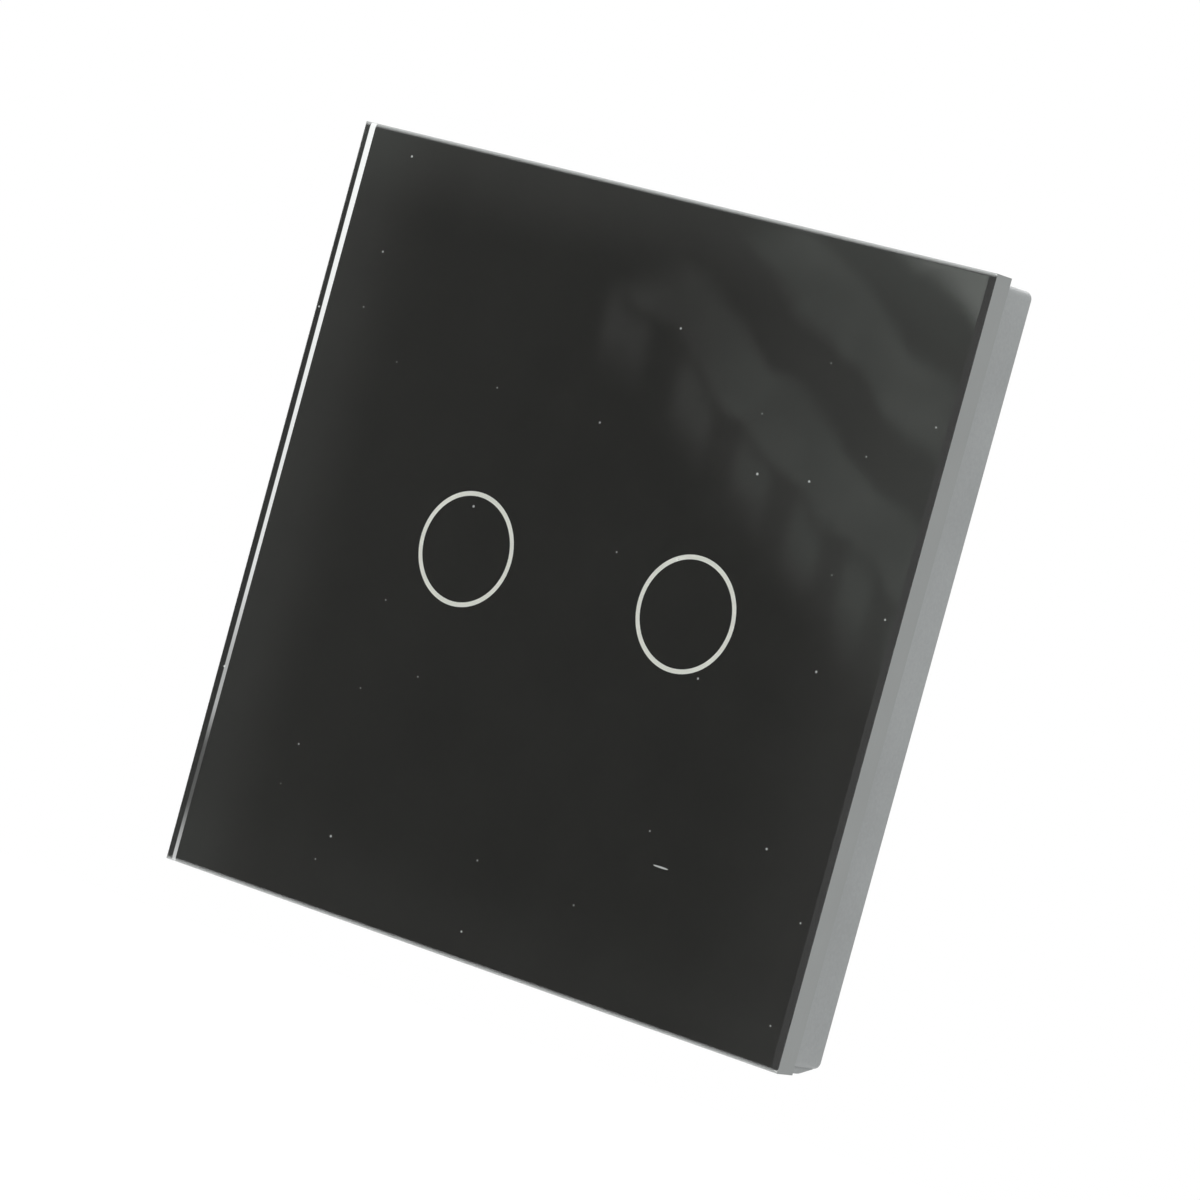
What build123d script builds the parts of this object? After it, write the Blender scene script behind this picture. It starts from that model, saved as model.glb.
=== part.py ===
from build123d import *
import math
import os

# Two-gang touch light switch for a 60 mm wall box, millimetres.
# X runs to the right, Z up, and the glass faces -Y. The origin is on the wall, where the strap's
# back face lies on it, midway between the box screws. Everything behind y = 0 sits in the wall box.

# Glass panel
panel_size = 80.0
glass_thickness = 3.0
glass_bevel_depth = 0.2
glass_bevel_side_width = 0.68
glass_bevel_top_width = 0.4
glass_back_chamfer = 0.1

# Print on the back of the glass
print_thickness = 0.15
print_edge_gap = 0.02
ring_outer_diameter = 12.0
ring_stroke = 0.5
ring_gap = 0.01
# How far the rings sit to the right of the light guides behind them
ring_shift = 0.25

# Tape between glass and frame
tape_thickness = 0.2
tape_width = 5.0
tape_edge_gap = 0.5

# Panel frame
frame_inset = 0.6
frame_depth = 5.35
frame_wall = 1.6
frame_web_thickness = 1.2
frame_corner_radius = 0.8
frame_edge_radius = 0.4
wall_gap = 0.3
frame_rib_thickness = 1.0
frame_rib_depth = 2.0
frame_rib_count = 4
frame_rib_end_gap = 1.8

# Hooks of the frame and catches of the cover
hook_spacing = 24.0
hook_width = 8.0
hook_thickness = 1.2
hook_barb_depth = 0.95
hook_barb_length = 0.7
hook_end_gap = 0.4
catch_width = 10.0
catch_height = 0.35
catch_length = 1.0
hook_clearance = 0.1

# Finger rib along the bottom edge of the frame
finger_rib_height = 0.6
finger_rib_end_gap = 0.5
finger_rib_front_gap = 0.25
finger_rib_back_gap = 0.2
finger_rib_flat = 2.1
finger_rib_front_radius = 0.3
finger_rib_crest_radius = 2.4

# Mounting strap
strap_side_gap = 2.3
strap_thickness = 1.0
strap_corner_radius = 4.0
strap_lip = 3.0
strap_opening_chamfer = 9.0
box_slot_edge_gap = 2.0
box_slot_width = 3.6
box_slot_length = 7.0

# Front cover of the module
cover_overhang = 2.0
cover_height = 3.6
cover_plate_thickness = 1.2
cover_wall = 1.4
cover_corner_radius = 2.0
cover_edge_radius = 0.4
cover_pad_size = 3.0

# Screws that hold cover, strap and housing together
case_screw_inset = 5.5
case_screw_diameter = 2.2
case_screw_length = 9.0
case_screw_tip = 0.8
case_head_diameter = 4.4
case_head_height = 1.5
case_hole_clearance = 0.3
case_post_diameter = 6.6
case_counterbore_depth = 1.8
case_driver_width = 0.6
case_driver_length = 2.6
case_driver_depth = 0.7

# Light guides
guide_ring_margin = 0.5
guide_wall = 1.3
guide_flange_width = 1.0
guide_side_gap = 1.925
guide_flange_thickness = 0.4
guide_clearance = 0.1
guide_glass_gap = 0.15
guide_led_gap = 0.1

# Touch springs
spring_side_gap = 0.5
spring_wire = 0.5
spring_turns = 4
spring_tip_gap = 0.05

# Touch board and what is soldered on it
touch_board_edge_gap = 0.4
touch_board_thickness = 1.0
touch_board_hole_clearance = 0.2
led_length = 1.6
led_width = 0.8
led_height = 0.7
led_lens_height = 0.45
chip_length = 9.9
chip_width = 3.9
chip_height = 1.4
chip_standoff = 0.1
chip_edge_chamfer = 0.15
chip_lead_count = 8
chip_lead_pitch = 1.27
chip_lead_width = 0.4
chip_lead_thickness = 0.2
chip_lead_reach = 1.0
chip_header_gap = 1.45
resistor_length = 1.6
resistor_width = 0.8
resistor_height = 0.5
resistor_count = 6
resistor_pitch = 3.4
resistor_header_gap = 1.5
insulation_edge_gap = 0.1

# Pin header between the boards
header_pin_count = 7
header_pin_pitch = 2.0
header_pin_width = 0.5
header_body_thickness = 1.5
header_body_width = 2.0
header_pin_reach = 5.2
header_solder_reach = 0.7
header_relay_gap = 0.3
socket_height = 4.4
socket_width = 2.2
socket_floor = 0.7
socket_clearance = 0.05

# Power board
board_distance = 6.7
power_board_edge_gap = 0.3
power_board_thickness = 1.6
power_board_boss_gap = 0.5

# Relays
relay_middle_gap = 0.4
relay_end_gap = 2.9
relay_side_gap = 3.4
relay_back_gap = 0.6
relay_width = 10.2
relay_standoff = 0.3
relay_case_wall = 0.7
relay_base_thickness = 1.6
relay_base_clearance = 0.05
relay_case_edge_radius = 0.5
yoke_thickness = 1.0
yoke_width = 5.2
yoke_foot_margin = 0.4
pole_gap = 2.9
core_inset = 2.9
bobbin_wall = 0.45
bobbin_clearance = 0.05
bobbin_side_gap = 0.2
bobbin_flange_thickness = 0.8
bobbin_top_gap = 0.5
winding_step = 0.3
winding_clearance = 0.02
armature_thickness = 0.9
armature_tip_reach = 3.5
armature_width = 5.0
armature_gap = 0.05
armature_angle = 3.5
leaf_thickness = 0.25
leaf_width = 3.6
leaf_offset = 0.8
leaf_hold = 5.0
contact_radius = 1.0
contact_height = 0.5
contact_inset = 1.3
contact_gap = 0.05
contact_lift = 4.4
fixed_blade_thickness = 0.5
fixed_blade_width = 3.2
fixed_blade_height = 7.0
relay_pin_radius = 0.4
relay_pin_reach = 2.6
# Free room inside a relay, shared out before the bobbin, behind it and past the contacts
relay_room_shares = (0.38, 0.16, 0.46)

# Other parts on the power board
part_seat_gap = 0.1
lead_radius = 0.3
lead_reach = 2.4
bulk_capacitor_diameter = 8.0
bulk_capacitor_back_gap = 3.4
bulk_capacitor_groove = 0.3
bulk_capacitor_groove_height = 1.6
bulk_capacitor_edge_radius = 0.6
bulk_lead_pitch = 3.5
film_capacitor_size_x = 5.0
film_capacitor_size_z = 13.0
film_capacitor_back_gap = 4.4
film_capacitor_edge_radius = 0.5
film_block_gap = 2.5
film_relay_gap = 2.6
film_lead_inset = 1.5
transformer_core_width = 11.0
transformer_core_length = 5.2
transformer_back_gap = 5.8
transformer_core_leg = 2.6
transformer_winding_length = 11.0
transformer_winding_radius = 1.2
transformer_clearance = 0.1
varistor_diameter = 7.4
varistor_thickness = 3.2
varistor_edge_radius = 1.2
varistor_relay_gap = 2.0
varistor_lead_pitch = 5.0
varistor_lead_length = 1.6
fuse_diameter = 5.6
fuse_back_gap = 7.4
fuse_edge_radius = 0.5
fuse_block_gap = 3.8
fuse_lead_pitch = 3.0
rectifier_length = 4.8
rectifier_width = 3.9
rectifier_height = 2.4
rectifier_lead_width = 0.7
rectifier_lead_reach = 1.2
rectifier_lead_pitch = 2.5
rectifier_shift = 1.7
rectifier_rise = 5.8
# Free room along the supply's row of parts, shared out from the left wall to the right one
supply_room_shares = (0.28, 0.17, 0.195, 0.195, 0.075, 0.085)

# Terminals
terminal_count = 4
terminal_block_back_gap = 0.3
terminal_block_bottom_gap = 0.3
terminal_block_floor = 1.8
terminal_block_roof = 1.7
terminal_block_wall = 1.0
terminal_block_web = 1.4
terminal_block_edge_radius = 0.4
wire_entry_margin = 1.9
cage_width = 5.8
cage_length = 7.0
cage_wall = 0.9
cage_roof = 1.6
cage_side_gap = 0.2
cage_corner_radius = 0.6
bar_thickness = 1.0
bar_side_gap = 0.3
bar_leg_width = 2.0
bar_end_gap = 0.6
bar_reach = 2.6
bar_leg_gap = 0.5
bar_roof_gap = 1.1
wire_closed_gap = 0.2
terminal_screw_diameter = 2.9
terminal_screw_clearance = 0.05
terminal_head_diameter = 4.8
terminal_head_height = 1.5
terminal_head_gap = 0.1
terminal_slot_width = 0.8
terminal_slot_depth = 0.8
terminal_access_diameter = 4.0

# Rear housing
housing_depth = 24.2
housing_wall = 1.5
housing_back_wall = 1.6
housing_corner_gap = 0.68
housing_edge_radius = 0.8
housing_boss_diameter = 4.8
housing_boss_gap = 0.1
housing_pilot_clearance = 0.05
housing_pilot_floor = 0.8
housing_access_clearance = 0.2
housing_rib_width = 12.0
housing_rib_depth = 1.0
label_recess_width = 26.0
label_recess_height = 14.0
label_recess_depth = 0.3
label_recess_z = 8.5

# One overrun for every cut
cut_over = 1.0

# Terminals: the block takes its size from the cages
pocket_width = cage_width + 2 * cage_side_gap
terminal_pitch = pocket_width + terminal_block_web
bar_width = cage_width - 2 * (cage_wall + bar_side_gap)
cage_room = cage_side_gap + cage_length + bar_leg_gap + bar_thickness + bar_end_gap / 2
terminal_block_depth = cage_room + 2 * terminal_block_wall

# Housing: its inside is as high as the terminals, the film capacitor and the relays need
film_place = terminal_block_bottom_gap + terminal_block_depth + film_block_gap
relay_place = film_place + film_capacitor_size_z + film_relay_gap
housing_inner_half = (relay_place + relay_width + relay_side_gap) / 2
housing_half = housing_inner_half + housing_wall
housing_size = 2 * housing_half
case_screw_spacing = housing_size - 2 * case_screw_inset
power_board_size = 2 * (housing_inner_half - power_board_edge_gap)
boss_room = (housing_boss_diameter - case_screw_spacing) / 2 + power_board_boss_gap
power_board_notch = power_board_size / 2 + boss_room

# Cover, strap and panel round the housing
cover_size = housing_size + 2 * cover_overhang
touch_board_size = cover_size - 2 * (cover_wall + touch_board_edge_gap)
insulation_size = cover_size - 2 * (cover_wall + insulation_edge_gap)
strap_opening = housing_size - 2 * strap_lip
frame_half = panel_size / 2 - frame_inset
strap_size = 2 * (frame_half - frame_wall - strap_side_gap)
box_screw_spacing = strap_size - box_slot_length - 2 * box_slot_edge_gap
web_half = cover_size / 2 + catch_height + hook_clearance + hook_barb_depth

# Rings, with a light guide and a spring behind each
guide_diameter = ring_outer_diameter + 2 * guide_ring_margin
guide_flange_diameter = guide_diameter + 2 * guide_flange_width
spring_diameter = guide_diameter - 2 * (guide_wall + spring_side_gap)
ring_pitch = cover_size - 2 * (cover_wall + guide_side_gap) - guide_flange_diameter
ring_places = [-ring_pitch / 2, ring_pitch / 2]

# Places along Y, from the wall forwards
frame_back_y = -wall_gap
frame_front_y = frame_back_y - frame_depth
print_back_y = frame_front_y - tape_thickness
glass_back_y = print_back_y - print_thickness
glass_front_y = glass_back_y - glass_thickness
web_back_y = frame_front_y + frame_web_thickness
strap_front_y = -strap_thickness
cover_front_y = strap_front_y - cover_height
plate_back_y = cover_front_y + cover_plate_thickness
guide_front_y = print_back_y + guide_glass_gap
guide_back_y = plate_back_y + guide_flange_thickness
touch_front_y = guide_back_y + guide_led_gap + led_height
touch_back_y = touch_front_y + touch_board_thickness
power_front_y = touch_back_y + board_distance
power_back_y = power_front_y + power_board_thickness
housing_inner_y = housing_depth - housing_back_wall

board_room = housing_inner_y - power_back_y

# Places of the terminals
terminal_places = [(i - (terminal_count - 1) / 2) * terminal_pitch for i in range(terminal_count)]
block_bottom_z = -housing_inner_half + terminal_block_bottom_gap
block_top_z = block_bottom_z + terminal_block_depth
block_back_y = housing_inner_y - terminal_block_back_gap
pocket_front_y = power_back_y + terminal_block_floor
pocket_back_y = block_back_y - terminal_block_roof
pocket_bottom_z = block_bottom_z + terminal_block_wall
pocket_top_z = block_top_z - terminal_block_wall
# The wire's space opens twice in the pocket: below the bar at rest, and as the cage's travel
cage_metal = cage_side_gap + cage_wall + bar_thickness + bar_roof_gap + cage_roof
head_room = terminal_head_height + 2 * terminal_head_gap
wire_space = (pocket_back_y - pocket_front_y - cage_metal - head_room + wire_closed_gap) / 2
wire_entry = wire_space + wire_entry_margin
cage_travel = wire_space - wire_closed_gap
head_back_y = pocket_back_y - terminal_head_gap
head_front_y = head_back_y - terminal_head_height
cage_back_y = head_front_y - terminal_head_gap - cage_travel
cage_bottom_z = pocket_bottom_z + cage_side_gap
screw_z = cage_bottom_z + cage_length / 2
cage_floor_y = pocket_front_y + cage_side_gap + cage_wall
bar_front_y = cage_floor_y + wire_space
bar_back_y = bar_front_y + bar_thickness
wire_y = (cage_floor_y + bar_front_y) / 2
bar_leg_z0 = pocket_top_z - bar_end_gap / 2 - bar_thickness

# Relays: their length and height follow the housing's inside
relay_length = housing_inner_half - relay_end_gap - relay_middle_gap / 2
relay_spacing = relay_length + relay_middle_gap
relay_height = board_room - relay_back_gap
relay_z = housing_inner_half - relay_side_gap - relay_width / 2
relay_bottom_z = relay_z - relay_width / 2

# Inside a relay, in its own frame: x from its centre along its length, y from the power board,
# z across its width
relay_inner_x = relay_length / 2 - relay_case_wall
bobbin_flange_radius = relay_width / 2 - relay_case_wall - bobbin_side_gap
winding_radius = bobbin_flange_radius - winding_step
core_radius = bobbin_flange_radius - core_inset
contact_reach = leaf_thickness + 2 * contact_height + contact_gap
relay_metal = 2 * bobbin_flange_radius + yoke_thickness + leaf_offset + contact_reach + fixed_blade_thickness
relay_room = 2 * relay_inner_x - relay_metal
core_x = bobbin_flange_radius + relay_room_shares[0] * relay_room - relay_inner_x
yoke_riser_x = core_x + bobbin_flange_radius + relay_room_shares[1] * relay_room + yoke_thickness
yoke_foot_length = yoke_riser_x - core_x + bobbin_flange_radius + yoke_foot_margin
leaf_x = yoke_riser_x + leaf_offset
fixed_blade_x = leaf_x + contact_reach
relay_floor_y = relay_standoff + relay_base_thickness
yoke_foot_y = relay_floor_y + yoke_thickness
pole_y = relay_height - pole_gap
contact_y = relay_floor_y + contact_lift
leaf_reach = pole_y + armature_thickness + contact_inset - contact_y
armature_length = yoke_riser_x + leaf_offset / 2 - core_x + armature_tip_reach

# Pin header, and what lies beside it on the touch board
header_z = relay_z - yoke_width / 2 - relay_pin_radius - header_relay_gap - socket_width / 2
header_places = [(i - (header_pin_count - 1) / 2) * header_pin_pitch for i in range(header_pin_count)]
chip_z = header_z - header_body_width / 2 - chip_header_gap - chip_lead_reach - chip_width / 2
resistor_z = header_z + header_body_width / 2 + resistor_header_gap + resistor_length / 2

# Supply parts in a row from the left wall to the right one
row_half = housing_inner_half - housing_rib_depth
row_widths = (bulk_capacitor_diameter, film_capacitor_size_x, transformer_core_width, varistor_thickness,
              fuse_diameter)
row_room = 2 * row_half - sum(row_widths)


def row_place(index):
    """The middle of one part of the supply's row, along X."""
    gaps = sum(supply_room_shares[:index + 1]) * row_room
    return gaps + sum(row_widths[:index]) + row_widths[index] / 2 - row_half


bulk_capacitor_x = row_place(0)
film_capacitor_x = row_place(1)
transformer_x = row_place(2)
varistor_x = row_place(3)
fuse_x = row_place(4)
bulk_capacitor_z = block_top_z + film_block_gap + film_capacitor_size_z / 2
varistor_z = relay_bottom_z - varistor_relay_gap - varistor_diameter / 2
fuse_z = block_top_z + fuse_block_gap + fuse_diameter / 2
rectifier_x = bulk_capacitor_x + rectifier_shift
rectifier_z = bulk_capacitor_z + rectifier_rise
film_lead_pitch = film_capacitor_size_z - 2 * film_lead_inset
part_room = board_room - part_seat_gap
bulk_capacitor_height = part_room - bulk_capacitor_back_gap
film_capacitor_height = part_room - film_capacitor_back_gap
transformer_core_height = part_room - transformer_back_gap
fuse_height = part_room - fuse_back_gap

# The housing's cut corners clear the corners of the relays and of the terminal block
relay_corner = relay_spacing / 2 + relay_length / 2 + relay_z + relay_width / 2
block_corner = terminal_count * terminal_pitch / 2 - block_bottom_z
inner_chamfer = 2 * housing_inner_half - max(relay_corner, block_corner) - housing_corner_gap
housing_chamfer = inner_chamfer + housing_wall * (2 - math.sqrt(2))


def block(x0, x1, y0, y1, z0, z1):
    """A box between two values on each axis."""
    centre = Pos((x0 + x1) / 2, (y0 + y1) / 2, (z0 + z1) / 2)
    return centre * Box(x1 - x0, y1 - y0, z1 - z0)


def slab(size, y0, y1, radius):
    """A square plate facing Y, centred on the Y axis, with rounded corners."""
    plate = block(-size / 2, size / 2, y0, y1, -size / 2, size / 2)
    return fillet(plate.edges().filter_by(Axis.Y), radius)


def octagon(size, y0, y1, corner):
    """A square plate facing Y with its four corners cut off."""
    plate = block(-size / 2, size / 2, y0, y1, -size / 2, size / 2)
    return chamfer(plate.edges().filter_by(Axis.Y), corner)


def rod(radius, y0, y1, x=0, z=0):
    """A round bar along Y."""
    return Pos(x, (y0 + y1) / 2, z) * Rot(90, 0, 0) * Cylinder(radius, y1 - y0)


def pipe(outer, inner, y0, y1, x=0, z=0):
    """A round tube along Y."""
    return rod(outer, y0, y1, x, z) - rod(inner, y0 - cut_over, y1 + cut_over, x, z)


def corner_places(spacing):
    """The four corners of a square, as x and z."""
    return [(sx * spacing / 2, sz * spacing / 2) for sx in (-1, 1) for sz in (-1, 1)]


def save(name, *solids):
    """Write one node: a single solid, or a group of separate ones."""
    shapes = []
    for item in solids:
        shapes += list(item.solids())
    shape = shapes[0] if len(shapes) == 1 else Compound(children=shapes)
    export_step(shape, "parts/" + name + ".step")


def glass_panel():
    """The plate with its flat front bevel, which is wider at the sides than at the top and bottom."""
    half = panel_size / 2
    rim_y = glass_front_y + glass_bevel_depth
    glass = block(-half, half, rim_y, glass_back_y, -half, half)
    glass = chamfer(glass.faces().sort_by(Axis.Y)[-1].edges(), glass_back_chamfer)
    face_width = panel_size - 2 * glass_bevel_side_width
    face_height = panel_size - 2 * glass_bevel_top_width
    rim = Plane.XZ.offset(-rim_y) * Rectangle(panel_size, panel_size)
    face = Plane.XZ.offset(-glass_front_y) * Rectangle(face_width, face_height)
    return glass + loft([rim, face], ruled=True)


def panel_print():
    size = panel_size - 2 * (glass_back_chamfer + print_edge_gap)
    sheet = block(-size / 2, size / 2, glass_back_y, print_back_y, -size / 2, size / 2)
    outer = ring_outer_diameter / 2
    inner = outer - ring_stroke
    discs = []
    for x in ring_places:
        centre = x + ring_shift
        sheet -= rod(outer, glass_back_y - cut_over, print_back_y + cut_over, centre)
        discs.append(rod(inner, glass_back_y, print_back_y, centre))
    return [sheet] + discs


def ring_window(x):
    outer = ring_outer_diameter / 2 - ring_gap
    inner = ring_outer_diameter / 2 - ring_stroke + ring_gap
    return pipe(outer, inner, glass_back_y, print_back_y, x)


def panel_tape():
    outer = 2 * (frame_half - tape_edge_gap)
    inner = outer - 2 * tape_width
    tape = block(-outer / 2, outer / 2, print_back_y, frame_front_y, -outer / 2, outer / 2)
    y0 = print_back_y - cut_over
    y1 = frame_front_y + cut_over
    return tape - block(-inner / 2, inner / 2, y0, y1, -inner / 2, inner / 2)


def frame_hook(x, side):
    """A sprung finger behind the web whose barb reaches in over the cover's catch."""
    y1 = strap_front_y - hook_end_gap
    inner = web_half
    x0 = x - hook_width / 2
    x1 = x + hook_width / 2
    finger = block(x0, x1, web_back_y - frame_web_thickness / 2, y1, inner, inner + hook_thickness)
    tip = inner - hook_barb_depth
    outline = Polyline((y1, inner), (y1 - hook_barb_length / 2, tip), (y1 - hook_barb_length, tip),
                       (y1 - 2 * hook_barb_length, inner), close=True)
    barb = extrude(Plane.YZ.offset(x0) * make_face(outline), hook_width)
    hook = finger + barb
    return hook if side > 0 else hook.mirror(Plane.XY)


def finger_rib():
    """A low rib under the frame's bottom edge, steep in front and sloping behind: the grip for a finger."""
    y0 = frame_front_y + finger_rib_front_gap
    y1 = frame_back_y - frame_edge_radius - finger_rib_back_gap
    half = frame_half - finger_rib_end_gap
    root = -frame_half + frame_wall / 2
    tip = -frame_half - finger_rib_height
    crest = y0 + finger_rib_flat
    outline = Polyline((y0, root), (y0, tip), (crest, tip), (y1, -frame_half), (y1, root), close=True)
    bar = extrude(Plane.YZ.offset(-half) * make_face(outline), 2 * half)
    lowest = bar.edges().filter_by(Axis.X).sort_by(Axis.Z)[:2].sort_by(Axis.Y)
    bar = fillet(lowest[0], finger_rib_front_radius)
    lowest = bar.edges().filter_by(Axis.X).sort_by(Axis.Z)[:2].sort_by(Axis.Y)
    return fillet(lowest[1], finger_rib_crest_radius)


def panel_frame():
    frame = slab(2 * frame_half, frame_front_y, frame_back_y, frame_corner_radius)
    frame = fillet(frame.faces().sort_by(Axis.Y)[-1].edges(), frame_edge_radius)
    inner = frame_half - frame_wall
    frame -= block(-inner, inner, web_back_y, frame_back_y + cut_over, -inner, inner)
    y0 = frame_front_y - cut_over
    y1 = web_back_y + cut_over
    frame -= block(-web_half, web_half, y0, y1, -web_half, web_half)
    # Stiffening ribs from the web to the outer walls, left and right of the hooks
    outer = inner + frame_wall / 2
    for index in range(frame_rib_count):
        place = (2 * index / (frame_rib_count - 1) - 1) * (inner - frame_rib_end_gap)
        x0 = place - frame_rib_thickness / 2
        x1 = place + frame_rib_thickness / 2
        start = strap_size / 2 + hook_clearance + frame_rib_thickness
        rib = block(x0, x1, web_back_y - frame_web_thickness / 2, web_back_y + frame_rib_depth, start, outer)
        frame += [rib, rib.mirror(Plane.XY), Rot(0, 90, 0) * rib, Rot(0, -90, 0) * rib]
    for x in (-hook_spacing / 2, hook_spacing / 2):
        frame += [frame_hook(x, 1), frame_hook(x, -1)]
    return frame + finger_rib()


def box_slot(along_x):
    """One wall-box slot, half the screw spacing from the centre, before it is turned into place."""
    y0 = strap_front_y - cut_over
    y1 = cut_over
    radius = box_slot_width / 2
    run = (box_slot_length - box_slot_width) / 2
    middle = box_screw_spacing / 2
    slot = block(middle - run, middle + run, y0, y1, -radius, radius)
    slot += [rod(radius, y0, y1, middle - run), rod(radius, y0, y1, middle + run)]
    return slot if along_x else Rot(0, -90, 0) * slot


def mounting_strap():
    strap = slab(strap_size, strap_front_y, 0, strap_corner_radius)
    strap -= octagon(strap_opening, strap_front_y - cut_over, cut_over, strap_opening_chamfer)
    for along_x in (True, False):
        slot = box_slot(along_x)
        strap -= [slot, Rot(0, 180, 0) * slot]
    hole = case_screw_diameter / 2 + case_hole_clearance
    for x, z in corner_places(case_screw_spacing):
        strap -= rod(hole, strap_front_y - cut_over, cut_over, x, z)
    return strap


def insulation_sheet():
    half = insulation_size / 2
    sheet = block(-half, half, touch_back_y, strap_front_y, -half, half)
    sheet -= octagon(strap_opening, touch_back_y - cut_over, cut_over, strap_opening_chamfer)
    hole = case_post_diameter / 2 + touch_board_hole_clearance
    for x, z in corner_places(case_screw_spacing):
        sheet -= rod(hole, touch_back_y - cut_over, cut_over, x, z)
    return sheet


def cover_catch(x, side):
    """The ramped catch on the cover's top or bottom wall that a hook snaps over."""
    half = cover_size / 2
    y0 = plate_back_y
    outline = Polyline((y0 - catch_length / 2, half), (y0 + catch_length / 2, half + catch_height),
                       (y0 + catch_length, half + catch_height), (y0 + catch_length, half - cover_wall / 2),
                       (y0 - catch_length / 2, half - cover_wall / 2), close=True)
    ramp = extrude(Plane.YZ.offset(x - catch_width / 2) * make_face(outline), catch_width)
    return ramp if side > 0 else ramp.mirror(Plane.XY)


def front_cover():
    cover = slab(cover_size, cover_front_y, strap_front_y, cover_corner_radius)
    cover = fillet(cover.faces().sort_by(Axis.Y)[0].edges(), cover_edge_radius)
    inner = cover_size / 2 - cover_wall
    cover -= block(-inner, inner, plate_back_y, strap_front_y + cut_over, -inner, inner)
    # Posts for the case screws, with a counterbore for each head
    for x, z in corner_places(case_screw_spacing):
        cover += rod(case_post_diameter / 2, cover_front_y + cover_plate_thickness / 2, strap_front_y, x, z)
    head = case_head_diameter / 2 + case_hole_clearance
    shank = case_screw_diameter / 2 + case_hole_clearance
    for x, z in corner_places(case_screw_spacing):
        cover -= rod(shank, cover_front_y - cut_over, strap_front_y + cut_over, x, z)
        cover -= rod(head, cover_front_y - cut_over, cover_front_y + case_counterbore_depth, x, z)
    # Windows for the light guides
    window = guide_diameter / 2 + guide_clearance
    for x in ring_places:
        cover -= rod(window, cover_front_y - cut_over, plate_back_y + cut_over, x)
    # Pads that the touch board rests on, at the middle of each wall
    pad = cover_pad_size / 2
    rest = inner - cover_pad_size
    y0 = plate_back_y - cover_plate_thickness / 2
    seat = block(-pad, pad, y0, touch_front_y, rest, inner + cover_wall / 2)
    cover += [seat, seat.mirror(Plane.XY)]
    for x in (-hook_spacing / 2, hook_spacing / 2):
        cover += [cover_catch(x, 1), cover_catch(x, -1)]
    return cover


def case_screw(x, z):
    """A pan-head self-tapping screw from the front, with a cross recess."""
    head_front = cover_front_y + case_counterbore_depth - case_head_height
    head_back = head_front + case_head_height
    head = rod(case_head_diameter / 2, head_front, head_back, x, z)
    head = fillet(head.faces().sort_by(Axis.Y)[0].edges(), case_head_height / 3)
    shank = rod(case_screw_diameter / 2, head_back, head_back + case_screw_length, x, z)
    shank = chamfer(shank.faces().sort_by(Axis.Y)[-1].edges(), case_screw_tip)
    screw = head + shank
    half = case_driver_width / 2
    reach = case_driver_length / 2
    y0 = head_front - cut_over
    y1 = head_front + case_driver_depth
    screw -= block(x - reach, x + reach, y0, y1, z - half, z + half)
    screw -= block(x - half, x + half, y0, y1, z - reach, z + reach)
    return screw


def light_guide(x):
    """A translucent collar that carries the LED light forward to the printed ring."""
    outer = guide_diameter / 2
    inner = outer - guide_wall
    guide = rod(outer, guide_front_y, guide_back_y, x)
    guide += rod(guide_flange_diameter / 2, plate_back_y, guide_back_y, x)
    guide -= rod(inner, guide_front_y - cut_over, guide_back_y + cut_over, x)
    return guide


def touch_spring(x):
    """A coil from the touch board to the back of the glass, the electrode behind one ring."""
    centre_radius = (spring_diameter - spring_wire) / 2
    start_y = touch_front_y - spring_wire / 2
    end_y = print_back_y + spring_tip_gap + spring_wire / 2
    height = start_y - end_y
    path = Helix(pitch=height / spring_turns, height=height, radius=centre_radius)
    section = Plane(origin=path @ 0, z_dir=path % 0) * Circle(spring_wire / 2)
    coil = sweep(section, path=path)
    return Pos(x, start_y, 0) * Rot(90, 0, 0) * coil


def touch_board():
    half = touch_board_size / 2
    board = block(-half, half, touch_front_y, touch_back_y, -half, half)
    hole = case_post_diameter / 2 + touch_board_hole_clearance
    for x, z in corner_places(case_screw_spacing):
        board -= rod(hole, touch_front_y - cut_over, touch_back_y + cut_over, x, z)
    pin = header_pin_width / 2 + socket_clearance
    for x in header_places:
        y0 = touch_front_y - cut_over
        y1 = touch_back_y + cut_over
        board -= block(x - pin, x + pin, y0, y1, header_z - pin, header_z + pin)
    return board


def indicator_leds():
    """Two small LEDs behind each light guide, above and below the spring."""
    leds = []
    radius = (guide_diameter - guide_wall) / 2
    top_y = touch_front_y - led_height
    lens_y = top_y + led_lens_height
    half = led_length / 2
    lens_half = led_length / 3
    for x in ring_places:
        for z in (-radius, radius):
            z0 = z - led_width / 2
            z1 = z + led_width / 2
            body = block(x - half, x + half, lens_y, touch_front_y, z0, z1)
            leds.append(body + block(x - lens_half, x + lens_half, top_y, lens_y, z0, z1))
    return leds


def touch_chip():
    y0 = touch_back_y + chip_standoff
    y1 = y0 + chip_height
    z0 = chip_z - chip_width / 2
    body = block(-chip_length / 2, chip_length / 2, y0, y1, z0, z0 + chip_width)
    return chamfer(body.edges(), chip_edge_chamfer)


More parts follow.
